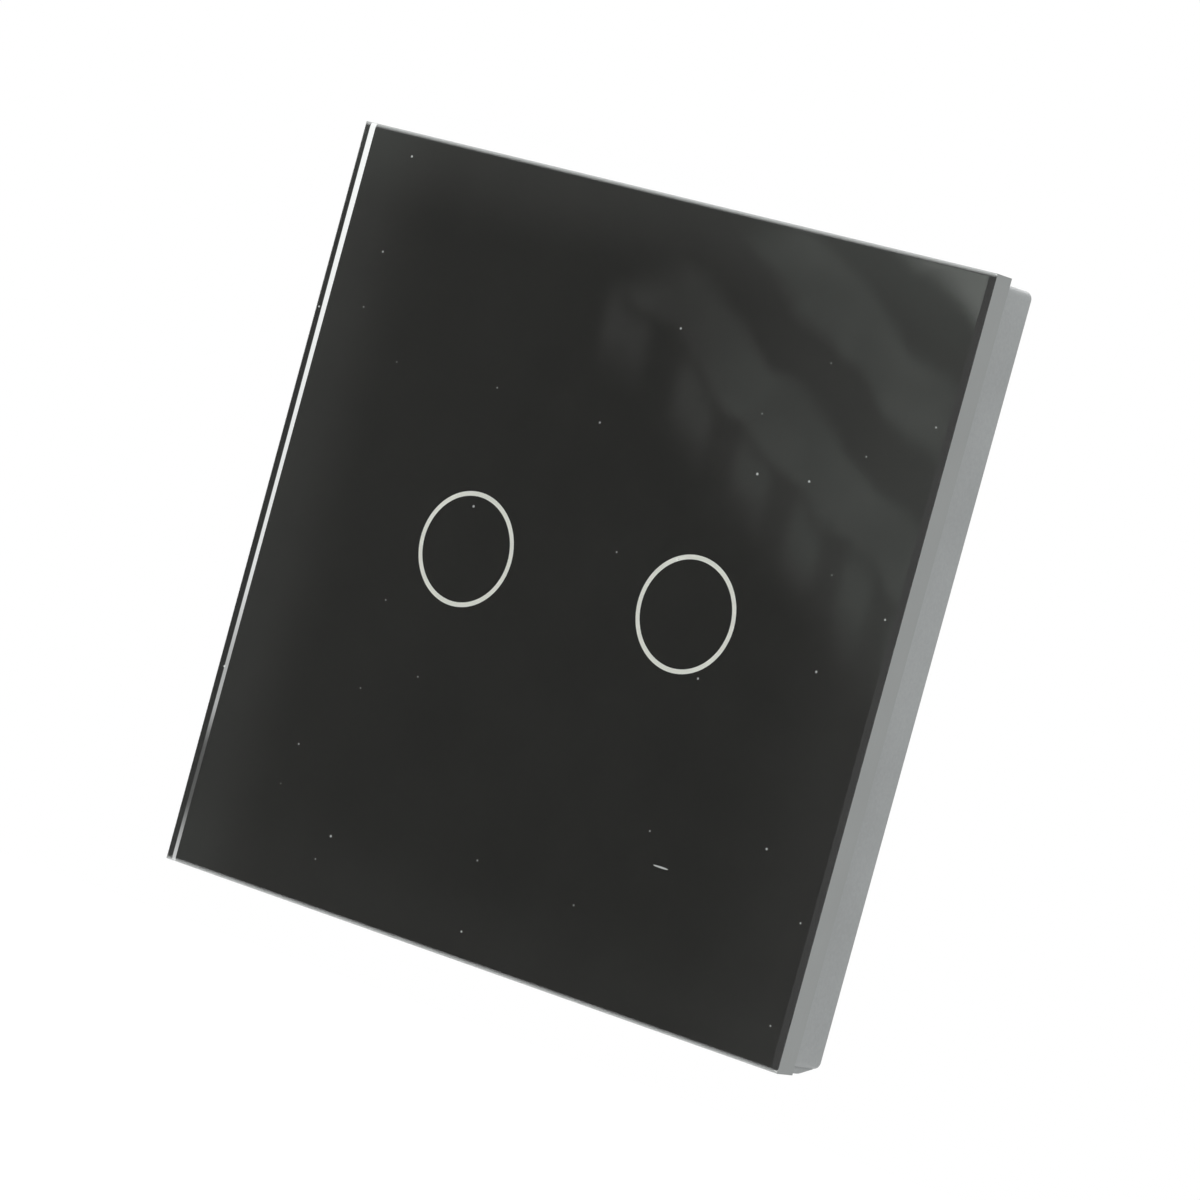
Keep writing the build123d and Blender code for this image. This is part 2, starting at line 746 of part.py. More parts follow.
def touch_chip_leads():
    """Gull-wing leads along both long sides of the chip."""
    leads = []
    seat = touch_back_y + chip_lead_thickness
    exit_y = touch_back_y + chip_standoff + chip_height / 2
    for index in range(chip_lead_count):
        x = (index - (chip_lead_count - 1) / 2) * chip_lead_pitch
        x0 = x - chip_lead_width / 2
        x1 = x + chip_lead_width / 2
        edge = chip_z + chip_width / 2
        middle = edge + chip_lead_reach / 2
        end = edge + chip_lead_reach
        top = block(x0, x1, exit_y, exit_y + chip_lead_thickness, edge, middle)
        leg = block(x0, x1, touch_back_y, exit_y + chip_lead_thickness, middle - chip_lead_thickness, middle)
        foot = block(x0, x1, touch_back_y, seat, middle - chip_lead_thickness, end)
        lead = top + leg + foot
        leads += [lead, Pos(0, 0, chip_z) * (Pos(0, 0, -chip_z) * lead).mirror(Plane.XY)]
    return leads


def board_resistors():
    resistors = []
    for index in range(resistor_count):
        x = (index - (resistor_count - 1) / 2) * resistor_pitch
        x0 = x - resistor_width / 2
        z0 = resistor_z - resistor_length / 2
        y1 = touch_back_y + resistor_height
        resistors.append(block(x0, x0 + resistor_width, touch_back_y, y1, z0, z0 + resistor_length))
    return resistors


def header_strip():
    half = header_pin_count * header_pin_pitch / 2
    width = header_body_width / 2
    y1 = touch_back_y + header_body_thickness
    strip = block(-half, half, touch_back_y, y1, header_z - width, header_z + width)
    pin = header_pin_width / 2 + socket_clearance
    for x in header_places:
        y0 = touch_back_y - cut_over
        strip -= block(x - pin, x + pin, y0, y1 + cut_over, header_z - pin, header_z + pin)
    return strip


def header_pins():
    pins = []
    half = header_pin_width / 2
    y0 = touch_front_y - header_solder_reach
    y1 = touch_back_y + header_pin_reach
    for x in header_places:
        pin = block(x - half, x + half, y0, y1, header_z - half, header_z + half)
        pins.append(chamfer(pin.faces().sort_by(Axis.Y)[-1].edges(), header_pin_width / 4))
    return pins


def header_socket():
    half = header_pin_count * header_pin_pitch / 2
    width = socket_width / 2
    y0 = power_front_y - socket_height
    socket = block(-half, half, y0, power_front_y, header_z - width, header_z + width)
    pin = header_pin_width / 2 + socket_clearance
    y1 = power_front_y - socket_floor
    for x in header_places:
        socket -= block(x - pin, x + pin, y0 - cut_over, y1, header_z - pin, header_z + pin)
    return socket


def power_board():
    half = power_board_size / 2
    board = block(-half, half, power_front_y, power_back_y, -half, half)
    y0 = power_front_y - cut_over
    y1 = power_back_y + cut_over
    edge = half - power_board_notch
    over = half + cut_over
    notch = block(edge, over, y0, y1, edge, over)
    for turn in (0, 90, 180, 270):
        board -= Rot(0, turn, 0) * notch
    # Holes for the pins and leads that are soldered through the board
    for x, z, radius in lead_places():
        board -= rod(radius + part_seat_gap, y0, y1, x, z)
    leg = bar_leg_width / 2 + part_seat_gap
    for x in terminal_places:
        z0 = bar_leg_z0 - part_seat_gap
        board -= block(x - leg, x + leg, y0, y1, z0, bar_leg_z0 + bar_thickness + part_seat_gap)
    return board


def on_board(shape, side):
    """Set a relay piece at its place: the left relay is turned end for end."""
    turn = 0 if side > 0 else 180
    return Pos(side * relay_spacing / 2, power_back_y, relay_z) * Rot(0, turn, 0) * shape


def relay_pair(make):
    """The same piece of both relays."""
    return [on_board(make(), side) for side in (-1, 1)]


def relay_pin_places():
    """Coil pins at one end of a relay and contact pins at the other, in the relay's own frame."""
    coil_x = -relay_length / 2 + relay_case_wall + relay_pin_radius * 3
    contact_x = fixed_blade_x + fixed_blade_thickness / 2
    side = yoke_width / 2
    return [(coil_x, -side), (coil_x, side), (contact_x, 0), (0, 0)]


def lead_places():
    """Every round lead through the power board, as x, z and radius."""
    places = []
    for side in (-1, 1):
        for x, z in relay_pin_places():
            places.append((side * (relay_spacing / 2 + x), relay_z + z, relay_pin_radius))
    half = bulk_lead_pitch / 2
    places += [(bulk_capacitor_x, bulk_capacitor_z + s * half, lead_radius) for s in (-1, 1)]
    half = film_lead_pitch / 2
    places += [(film_capacitor_x, bulk_capacitor_z + s * half, lead_radius) for s in (-1, 1)]
    half = fuse_lead_pitch / 2
    places += [(fuse_x, fuse_z + s * half, lead_radius) for s in (-1, 1)]
    half = varistor_lead_pitch / 2
    places += [(varistor_x, varistor_z + s * half, lead_radius) for s in (-1, 1)]
    return places


def leads(x, z, pitch, y1):
    """Two wire leads from a part at y1 through the power board."""
    y0 = power_back_y - lead_reach
    return [rod(lead_radius, y0, y1, x, z + s * pitch / 2) for s in (-1, 1)]


def relay_base():
    half = relay_inner_x - relay_base_clearance
    width = relay_width / 2 - relay_case_wall - relay_base_clearance
    base = block(-half, half, relay_standoff, relay_floor_y, -width, width)
    for x, z in relay_pin_places():
        base += rod(relay_pin_radius, -relay_pin_reach, relay_standoff, x, z)
    return base


def relay_case():
    half = relay_length / 2
    width = relay_width / 2
    case = block(-half, half, relay_standoff, relay_height, -width, width)
    case = fillet(case.edges().filter_by(Axis.Y), relay_case_edge_radius)
    case = fillet(case.faces().sort_by(Axis.Y)[-1].edges(), relay_case_edge_radius / 2)
    half -= relay_case_wall
    width -= relay_case_wall
    return case - block(-half, half, relay_standoff - cut_over, relay_height - relay_case_wall, -width, width)


def relay_yoke():
    """The L-shaped iron yoke with the core standing on its foot."""
    half = yoke_width / 2
    foot_x = yoke_riser_x - yoke_foot_length
    foot = block(foot_x, yoke_riser_x, relay_floor_y, yoke_foot_y, -half, half)
    riser = block(yoke_riser_x - yoke_thickness, yoke_riser_x, relay_floor_y, pole_y, -half, half)
    core = rod(core_radius, yoke_foot_y - yoke_thickness / 2, pole_y, core_x)
    return foot + riser + core


def relay_bobbin():
    y1 = pole_y - bobbin_top_gap
    inner = core_radius + bobbin_clearance
    tube = rod(inner + bobbin_wall, yoke_foot_y, y1, core_x)
    tube += rod(bobbin_flange_radius, yoke_foot_y, yoke_foot_y + bobbin_flange_thickness, core_x)
    tube += rod(bobbin_flange_radius, y1 - bobbin_flange_thickness, y1, core_x)
    return tube - rod(inner, yoke_foot_y - cut_over, y1 + cut_over, core_x)


def relay_winding():
    y0 = yoke_foot_y + bobbin_flange_thickness
    y1 = pole_y - bobbin_top_gap - bobbin_flange_thickness
    inner = core_radius + bobbin_clearance + bobbin_wall + winding_clearance
    return pipe(winding_radius, inner, y0, y1, core_x)


def opened(shape):
    """Turn a piece about the yoke's top edge, from touching the pole to the relay's open rest."""
    pivot = Pos(yoke_riser_x, pole_y, 0)
    return pivot * Rot(0, 0, -armature_angle) * pivot.inverse() * shape


def relay_armature():
    half = armature_width / 2
    y0 = pole_y + armature_gap
    outer = yoke_riser_x + leaf_offset / 2
    return opened(block(outer - armature_length, outer, y0, y0 + armature_thickness, -half, half))


def relay_leaf():
    """The contact spring riveted on the armature, bent down past the yoke to the moving contact."""
    half = leaf_width / 2
    y0 = pole_y + armature_gap + armature_thickness
    y1 = y0 + leaf_thickness
    x1 = leaf_x + leaf_thickness
    arm = block(x1 - leaf_hold, x1, y0, y1, -half, half)
    blade = block(leaf_x, x1, y1 - leaf_reach, y1, -half, half)
    centre = Pos(x1 + contact_height / 2, contact_y, 0)
    contact = centre * Rot(0, 90, 0) * Cylinder(contact_radius, contact_height)
    return opened(arm + blade + contact)


def relay_fixed_contact():
    half = fixed_blade_width / 2
    x1 = fixed_blade_x + fixed_blade_thickness
    blade = block(fixed_blade_x, x1, relay_floor_y, relay_floor_y + fixed_blade_height, -half, half)
    centre = Pos(fixed_blade_x - contact_height / 2, contact_y, 0)
    return blade + centre * Rot(0, 90, 0) * Cylinder(contact_radius, contact_height)


def bulk_capacitor():
    """A round aluminium capacitor with the rolled groove near its rubber end."""
    y0 = power_back_y + part_seat_gap
    y1 = y0 + bulk_capacitor_height
    radius = bulk_capacitor_diameter / 2
    can = rod(radius, y0, y1, bulk_capacitor_x, bulk_capacitor_z)
    can = fillet(can.edges(), bulk_capacitor_edge_radius)
    groove_place = Pos(bulk_capacitor_x, y0 + bulk_capacitor_groove_height, bulk_capacitor_z)
    can -= groove_place * Rot(90, 0, 0) * Torus(radius, bulk_capacitor_groove)
    for lead in leads(bulk_capacitor_x, bulk_capacitor_z, bulk_lead_pitch, y0 + lead_radius):
        can += lead
    return can


def film_capacitor():
    y0 = power_back_y + part_seat_gap
    y1 = y0 + film_capacitor_height
    half = film_capacitor_size_x / 2
    z0 = bulk_capacitor_z - film_capacitor_size_z / 2
    z1 = bulk_capacitor_z + film_capacitor_size_z / 2
    body = block(film_capacitor_x - half, film_capacitor_x + half, y0, y1, z0, z1)
    body = fillet(body.edges(), film_capacitor_edge_radius)
    for lead in leads(film_capacitor_x, bulk_capacitor_z, film_lead_pitch, y0 + film_capacitor_edge_radius):
        body += lead
    return body


def transformer_core():
    """The ferrite frame of the small supply transformer, open along Z."""
    half = transformer_core_width / 2
    length = transformer_core_length / 2
    y0 = power_back_y + part_seat_gap
    y1 = y0 + transformer_core_height
    leg = transformer_core_leg / 2
    core = block(transformer_x - half, transformer_x + half, y0, y1,
                 bulk_capacitor_z - length, bulk_capacitor_z + length)
    window_z0 = bulk_capacitor_z - length - cut_over
    window_z1 = bulk_capacitor_z + length + cut_over
    for side in (-1, 1):
        near = transformer_x + side * leg
        far = transformer_x + side * (half - leg)
        core -= block(min(near, far), max(near, far), y0 + leg, y1 - leg, window_z0, window_z1)
    return core


def transformer_winding():
    """The taped winding round the middle leg of the core."""
    y0 = power_back_y + part_seat_gap + transformer_core_leg / 2 + transformer_clearance
    y1 = y0 + transformer_core_height - transformer_core_leg - 2 * transformer_clearance
    half = transformer_core_width / 2 - transformer_core_leg / 2 - transformer_clearance
    length = transformer_winding_length / 2
    wound = block(transformer_x - half, transformer_x + half, y0, y1,
                  bulk_capacitor_z - length, bulk_capacitor_z + length)
    wound = fillet(wound.edges().filter_by(Axis.Y), transformer_winding_radius)
    leg = transformer_core_leg / 2 + transformer_clearance
    reach = transformer_core_length / 2 + transformer_clearance
    return wound - block(transformer_x - leg, transformer_x + leg, y0 - cut_over, y1 + cut_over,
                         bulk_capacitor_z - reach, bulk_capacitor_z + reach)


def varistor():
    y = power_back_y + varistor_lead_length + varistor_diameter / 2
    centre = Pos(varistor_x, y, varistor_z)
    disc = centre * Rot(0, 90, 0) * Cylinder(varistor_diameter / 2, varistor_thickness)
    disc = fillet(disc.edges().filter_by(GeomType.CIRCLE), varistor_edge_radius)
    for lead in leads(varistor_x, varistor_z, varistor_lead_pitch, y):
        disc += lead
    return disc


def fuse():
    y0 = power_back_y + part_seat_gap
    body = rod(fuse_diameter / 2, y0, y0 + fuse_height, fuse_x, fuse_z)
    body = fillet(body.edges().filter_by(GeomType.CIRCLE), fuse_edge_radius)
    for lead in leads(fuse_x, fuse_z, fuse_lead_pitch, y0 + fuse_edge_radius):
        body += lead
    return body


def bridge_rectifier():
    """A flat four-lead rectifier on the front of the power board."""
    y1 = power_front_y - part_seat_gap
    x0 = rectifier_x - rectifier_length / 2
    z0 = rectifier_z - rectifier_width / 2
    body = block(x0, x0 + rectifier_length, y1 - rectifier_height, y1, z0, z0 + rectifier_width)
    half = rectifier_lead_width / 2
    for side in (-1, 1):
        x = rectifier_x + side * rectifier_lead_pitch / 2
        z_near = rectifier_z - rectifier_width / 2 - rectifier_lead_reach
        z_far = rectifier_z + rectifier_width / 2 + rectifier_lead_reach
        body += block(x - half, x + half, y1, power_front_y, z_near, z_far)
    return body


def terminal_block():
    half = terminal_count * terminal_pitch / 2
    body = block(-half, half, power_back_y, block_back_y, block_bottom_z, block_top_z)
    body = fillet(body.faces().sort_by(Axis.Y)[-1].edges(), terminal_block_edge_radius)
    pocket = pocket_width / 2
    entry = wire_entry / 2
    for x in terminal_places:
        body -= block(x - pocket, x + pocket, pocket_front_y, pocket_back_y, pocket_bottom_z, pocket_top_z)
        body -= block(x - entry, x + entry, wire_y - entry, wire_y + entry,
                      block_bottom_z - cut_over, pocket_bottom_z + cut_over)
        access = terminal_access_diameter / 2
        body -= rod(access, pocket_back_y - cut_over, block_back_y + cut_over, x, screw_z)
        leg = bar_leg_width / 2 + part_seat_gap
        z0 = bar_leg_z0 - part_seat_gap
        z1 = bar_leg_z0 + bar_thickness + part_seat_gap
        body -= block(x - leg, x + leg, power_back_y - cut_over, pocket_front_y + cut_over, z0, z1)
    return body


def terminal_cage(x):
    """The steel box that draws the wire up against the bar as its screw turns."""
    half = cage_width / 2
    z0 = cage_bottom_z
    z1 = z0 + cage_length
    y0 = cage_floor_y - cage_wall
    cage = block(x - half, x + half, y0, cage_back_y, z0, z1)
    cage = fillet(cage.edges().filter_by(Axis.Z), cage_corner_radius)
    inner = half - cage_wall
    roof_y = cage_back_y - cage_roof
    cage -= block(x - inner, x + inner, cage_floor_y, roof_y, z0 - cut_over, z1 + cut_over)
    hole = terminal_screw_diameter / 2 + terminal_screw_clearance
    return cage - rod(hole, roof_y - cut_over, cage_back_y + cut_over, x, screw_z)


def terminal_screw(x):
    tip_y = bar_back_y + terminal_head_gap
    screw = rod(terminal_screw_diameter / 2, tip_y, head_front_y, x, screw_z)
    screw = chamfer(screw.faces().sort_by(Axis.Y)[0].edges(), terminal_screw_diameter / 8)
    head = rod(terminal_head_diameter / 2, head_front_y, head_back_y, x, screw_z)
    head = chamfer(head.faces().sort_by(Axis.Y)[-1].edges(), terminal_head_height / 6)
    screw += head
    half = terminal_slot_width / 2
    reach = terminal_head_diameter / 2 + cut_over
    slot_y = head_back_y - terminal_slot_depth
    return screw - block(x - reach, x + reach, slot_y, head_back_y + cut_over, screw_z - half, screw_z + half)


def terminal_bar(x):
    """The copper bar that the wire is clamped against, with its leg through the power board."""
    half = bar_width / 2
    z0 = pocket_bottom_z + bar_end_gap
    z1 = bar_leg_z0 + bar_thickness
    flat = block(x - half, x + half, bar_front_y, bar_back_y, z0, z1)
    leg = bar_leg_width / 2
    return flat + block(x - leg, x + leg, power_back_y - bar_reach, bar_back_y, bar_leg_z0, z1)


def rear_housing():
    shell = octagon(housing_size, 0, housing_depth, housing_chamfer)
    shell = fillet(shell.faces().sort_by(Axis.Y)[-1].edges(), housing_edge_radius)
    shell -= octagon(2 * housing_inner_half, -cut_over, housing_inner_y, inner_chamfer)
    boss = housing_boss_diameter / 2
    pilot = case_screw_diameter / 2 + housing_pilot_clearance
    boss_end = power_back_y - housing_boss_gap
    for x, z in corner_places(case_screw_spacing):
        shell += rod(boss, 0, boss_end, x, z)
    for x, z in corner_places(case_screw_spacing):
        shell -= rod(pilot, -cut_over, boss_end - housing_pilot_floor, x, z)
    # Ribs behind the power board, on the left and right walls
    for side in (-1, 1):
        near = side * (housing_inner_half - housing_rib_depth)
        far = side * (housing_inner_half + housing_wall / 2)
        half = housing_rib_width / 2
        shell += block(min(near, far), max(near, far), power_back_y, housing_inner_y + housing_back_wall / 2,
                       -half, half)
    entry = wire_entry / 2
    for x in terminal_places:
        shell -= block(x - entry, x + entry, wire_y - entry, wire_y + entry,
                       -housing_half - cut_over, -housing_inner_half + cut_over)
        access = terminal_access_diameter / 2 + housing_access_clearance
        shell -= rod(access, housing_inner_y - cut_over, housing_depth + cut_over, x, screw_z)
    # A bare recess where a label would sit
    width = label_recess_width / 2
    height = label_recess_height / 2
    return shell - block(-width, width, housing_depth - label_recess_depth, housing_depth + cut_over,
                         label_recess_z - height, label_recess_z + height)


def main():
    os.makedirs("parts", exist_ok=True)
    save("glass_panel", glass_panel())
    save("panel_print", *panel_print())
    save("panel_tape", panel_tape())
    save("panel_frame", panel_frame())
    save("mounting_strap", mounting_strap())
    save("insulation_sheet", insulation_sheet())
    save("front_cover", front_cover())
    save("case_screws", *[case_screw(x, z) for x, z in corner_places(case_screw_spacing)])
    for side, x in zip(("left", "right"), ring_places):
        save("ring_window_" + side, ring_window(x + ring_shift))
        save("light_guide_" + side, light_guide(x))
        save("touch_spring_" + side, touch_spring(x))
    save("touch_board", touch_board())
    save("indicator_leds", *indicator_leds())
    save("touch_chip", touch_chip())
    save("touch_chip_leads", *touch_chip_leads())
    save("board_resistors", *board_resistors())
    save("header_strip", header_strip())
    save("header_pins", *header_pins())
    save("header_socket", header_socket())
    save("power_board", power_board())
    save("relay_bases", *relay_pair(relay_base))
    save("relay_cases", *relay_pair(relay_case))
    save("relay_yokes", *relay_pair(relay_yoke))
    save("relay_bobbins", *relay_pair(relay_bobbin))
    save("relay_windings", *relay_pair(relay_winding))
    save("relay_fixed_contacts", *relay_pair(relay_fixed_contact))
    for name, side in (("left", -1), ("right", 1)):
        save("relay_armature_" + name, on_board(relay_armature(), side))
        save("relay_leaf_" + name, on_board(relay_leaf(), side))
    save("bulk_capacitor", bulk_capacitor())
    save("film_capacitor", film_capacitor())
    save("transformer_core", transformer_core())
    save("transformer_winding", transformer_winding())
    save("varistor", varistor())
    save("fuse", fuse())
    save("bridge_rectifier", bridge_rectifier())
    save("terminal_block", terminal_block())
    save("terminal_bars", *[terminal_bar(x) for x in terminal_places])
    for index, x in enumerate(terminal_places, 1):
        save("terminal_cage_" + str(index), terminal_cage(x))
        save("terminal_screw_" + str(index), terminal_screw(x))
    save("rear_housing", rear_housing())


main()
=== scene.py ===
"""A two-gang touch light switch: its looks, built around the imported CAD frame.

X runs to the right, Z up and the glass faces -Y. Sizes are metres, with MM for millimetres.
"""

import math

import bmesh
import bpy
from bpy.props import FloatProperty, FloatVectorProperty, PointerProperty
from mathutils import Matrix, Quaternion, Vector


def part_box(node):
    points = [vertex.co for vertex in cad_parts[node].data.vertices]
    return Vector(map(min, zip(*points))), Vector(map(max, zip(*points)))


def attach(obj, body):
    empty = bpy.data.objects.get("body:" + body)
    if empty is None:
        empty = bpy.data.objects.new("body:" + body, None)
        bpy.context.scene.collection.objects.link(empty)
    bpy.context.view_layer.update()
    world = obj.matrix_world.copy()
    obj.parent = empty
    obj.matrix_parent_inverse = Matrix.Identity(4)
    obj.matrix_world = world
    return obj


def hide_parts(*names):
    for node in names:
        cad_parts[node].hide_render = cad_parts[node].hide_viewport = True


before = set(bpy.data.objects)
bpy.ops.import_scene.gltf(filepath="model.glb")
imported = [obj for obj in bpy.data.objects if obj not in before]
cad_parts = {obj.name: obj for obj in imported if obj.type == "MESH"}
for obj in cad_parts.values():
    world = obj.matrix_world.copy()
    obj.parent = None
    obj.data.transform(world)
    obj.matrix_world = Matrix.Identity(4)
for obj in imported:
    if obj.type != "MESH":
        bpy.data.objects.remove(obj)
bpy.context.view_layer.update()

bl_info = {
    "name": "Touch light switch",
    "version": (1, 0, 0),
    "blender": (4, 5, 0),
    "location": "3D View > Sidebar > Touch switch",
    "description": "Dresses a two-gang touch light switch around its CAD frame",
    "category": "Object",
}

MM = 0.001
# Two places nearer to each other than this are one
SAME = 0.001 * MM
# Where a Mix node takes its two colours
COLOUR_A, COLOUR_B = 6, 7


def linear(hex_colour):
    """Turns an sRGB hex colour to the linear one that the nodes take."""
    levels = [int(hex_colour[i:i + 2], 16) / 255 for i in (1, 3, 5)]
    levels = [v / 12.92 if v <= 0.04045 else ((v + 0.055) / 1.055) ** 2.4 for v in levels]
    return (*levels, 1.0)


def shaded(colour, share=1.0):
    """A colour made darker or lighter by a share, with full alpha."""
    return [min(1.0, level * share) for level in colour[:3]] + [1.0]


def per(size):
    """The scale that gives a texture a pattern of this many millimetres."""
    return 1 / (size * MM)


def add(tree, kind, inputs=None, **settings):
    """Adds a node with its settings. Its inputs take values, sockets, or nodes for their own output."""
    node = tree.nodes.new("ShaderNode" + kind)
    for name, value in settings.items():
        setattr(node, name, value)
    for key, value in (inputs or {}).items():
        if isinstance(value, bpy.types.Node):
            value = next(output for output in value.outputs if output.enabled)
        if isinstance(value, bpy.types.NodeSocket):
            tree.links.new(value, node.inputs[key])
        else:
            node.inputs[key].default_value = value
    return node


def start(name):
    """A new material, its node tree, and the place on the piece in metres."""
    made = bpy.data.materials.new(name)
    made.use_nodes = True
    made.node_tree.nodes.clear()
    place = add(made.node_tree, "TexCoord").outputs["Object"]
    return made, made.node_tree, place


# Part 1: the settings that a user would change


class PanelSettings(bpy.types.PropertyGroup):
    """Sizes and colours of the glass panel."""

    wall_inset: FloatProperty(
        name="Wall inset", description="How far the clear glass stays inside the ground band",
        default=0.03 * MM, unit="LENGTH")
    bond: FloatProperty(
        name="Bond", description="How far the glass reaches into the print, so that no air shows",
        default=0.02 * MM, unit="LENGTH")
    rim: FloatProperty(
        name="Rim", description="Depth of the front bevel, and its width on the left",
        default=0.2 * MM, unit="LENGTH")
    bevel_right: FloatProperty(
        name="Right bevel", description="Width of the front bevel on the right",
        default=0.68 * MM, unit="LENGTH")
    bevel_top: FloatProperty(
        name="Top bevel", description="Width of the front bevel at the top and bottom",
        default=0.4 * MM, unit="LENGTH")
    arris: FloatProperty(
        name="Arris", description="Polished strip between the front bevel and the ground wall",
        default=0.1 * MM, unit="LENGTH")
    chamfer: FloatProperty(
        name="Chamfer", description="Leg of the chamfer round the back",
        default=0.1 * MM, unit="LENGTH")
    band: FloatProperty(
        name="Ground band", description="Depth of the frosted skin on the ground walls",
        default=0.05 * MM, unit="LENGTH")
    left_wear: FloatProperty(
        name="Left wear", description="Extra depth of the frosted skin at the left wall's top",
        default=0.16 * MM, unit="LENGTH")
    ground_glass: FloatVectorProperty(
        name="Ground glass", description="Colour of the ground walls",
        default=linear("#838685")[:3], subtype="COLOR", size=3)
    print_black: FloatVectorProperty(
        name="Print", description="Colour of the black screen ink",
        default=linear("#1D1D1B")[:3], subtype="COLOR", size=3)
    ring_white: FloatVectorProperty(
        name="Rings", description="Colour of the two touch rings",
        default=linear("#F8F7EF")[:3], subtype="COLOR", size=3)
    frame_grey: FloatVectorProperty(
        name="Frame", description="Colour of the moulded frame",
        default=linear("#898C8C")[:3], subtype="COLOR", size=3)


class ModuleSettings(bpy.types.PropertyGroup):
    """Colours of the module behind the panel."""

    case_dark: FloatVectorProperty(
        name="Case", description="Colour of the cover and the housing",
        default=linear("#303032")[:3], subtype="COLOR", size=3)
    zinc: FloatVectorProperty(
        name="Zinc", description="Colour of the zinc plating",
        default=linear("#C3C6C8")[:3], subtype="COLOR", size=3)
    board: FloatVectorProperty(
        name="Boards", description="Colour of the solder mask",
        default=linear("#2A6644")[:3], subtype="COLOR", size=3)
    terminal_grey: FloatVectorProperty(
        name="Terminals", description="Colour of the terminal block",
        default=linear("#59595B")[:3], subtype="COLOR", size=3)


class StageSettings(bpy.types.PropertyGroup):
    """The camera's place and the light's level."""

    lens: FloatProperty(
        name="Lens", description="Focal length on a 36 mm sensor", default=165.4)
    distance: FloatProperty(
        name="Distance", description="From the camera to what it looks at",
        default=551.27 * MM, unit="LENGTH")
    azimuth: FloatProperty(
        name="Azimuth", description="How far the camera stands to the right",
        default=math.radians(35.28), subtype="ANGLE")
    elevation: FloatProperty(
        name="Elevation", description="How far the camera stands above",
        default=math.radians(1.845), subtype="ANGLE")
    roll: FloatProperty(
        name="Roll", description="How far the camera is turned about its own line",
        default=math.radians(15.32), subtype="ANGLE")
    room: FloatProperty(
        name="Room light", description="Strength of the light from all round", default=0.65)
    floor: FloatProperty(
        name="Floor", description="Height of the floor", default=-600 * MM, unit="LENGTH")


# Part 2: modelling by hand


def begin(name, low, high):
    """Adds a block between two corners and opens it in edit mode, with nothing selected."""
    if bpy.context.mode != "OBJECT":
        bpy.ops.object.mode_set(mode="OBJECT")
    bpy.ops.object.select_all(action="DESELECT")
    low, high = Vector(low), Vector(high)
    bpy.ops.mesh.primitive_cube_add(size=1, location=(low + high) / 2, scale=high - low)
    piece = bpy.context.object
    piece.name = name
    piece.data.name = name
    bpy.ops.object.transform_apply(location=True, rotation=True, scale=True)
    bpy.ops.object.mode_set(mode="EDIT")
    bpy.ops.mesh.select_mode(type="EDGE")
    bpy.ops.mesh.select_all(action="DESELECT")
    return piece


def pick(piece, kind, test):
    """Selects the edges or the faces that pass a test, and nothing else."""
    bpy.ops.mesh.select_mode(type={"edges": "EDGE", "faces": "FACE"}[kind])
    bpy.ops.mesh.select_all(action="DESELECT")
    shape = bmesh.from_edit_mesh(piece.data)
    for item in getattr(shape, kind):
        if test(item):
            item.select_set(True)
    bmesh.update_edit_mesh(piece.data)


def flat_at(y):
    """A test for edges and faces that lie flat at one depth."""
    return lambda item: all(abs(v.co.y - y) < SAME for v in item.verts)


def square_to(axis, side):
    """A test for edges that lie on one side of the middle, square to an axis."""
    def test(edge):
        places = [v.co[axis] * side for v in edge.verts]
        return min(places) > 0 and max(places) - min(places) < SAME
    return test


def complete(piece, material, smooth_angle):
    """Closes the modelling of a piece of the glass: it rides on the panel, and gets its finish."""
    bpy.ops.object.mode_set(mode="OBJECT")
    bpy.ops.object.shade_smooth_by_angle(angle=math.radians(smooth_angle))
    piece.data.materials.append(material)
    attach(piece, "panel")
    piece.select_set(False)


def dress(material, *nodes):
    """Puts a finish on CAD nodes."""
    for name in nodes:
        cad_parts[name].material_slots[0].material = material


# Part 3: finishes


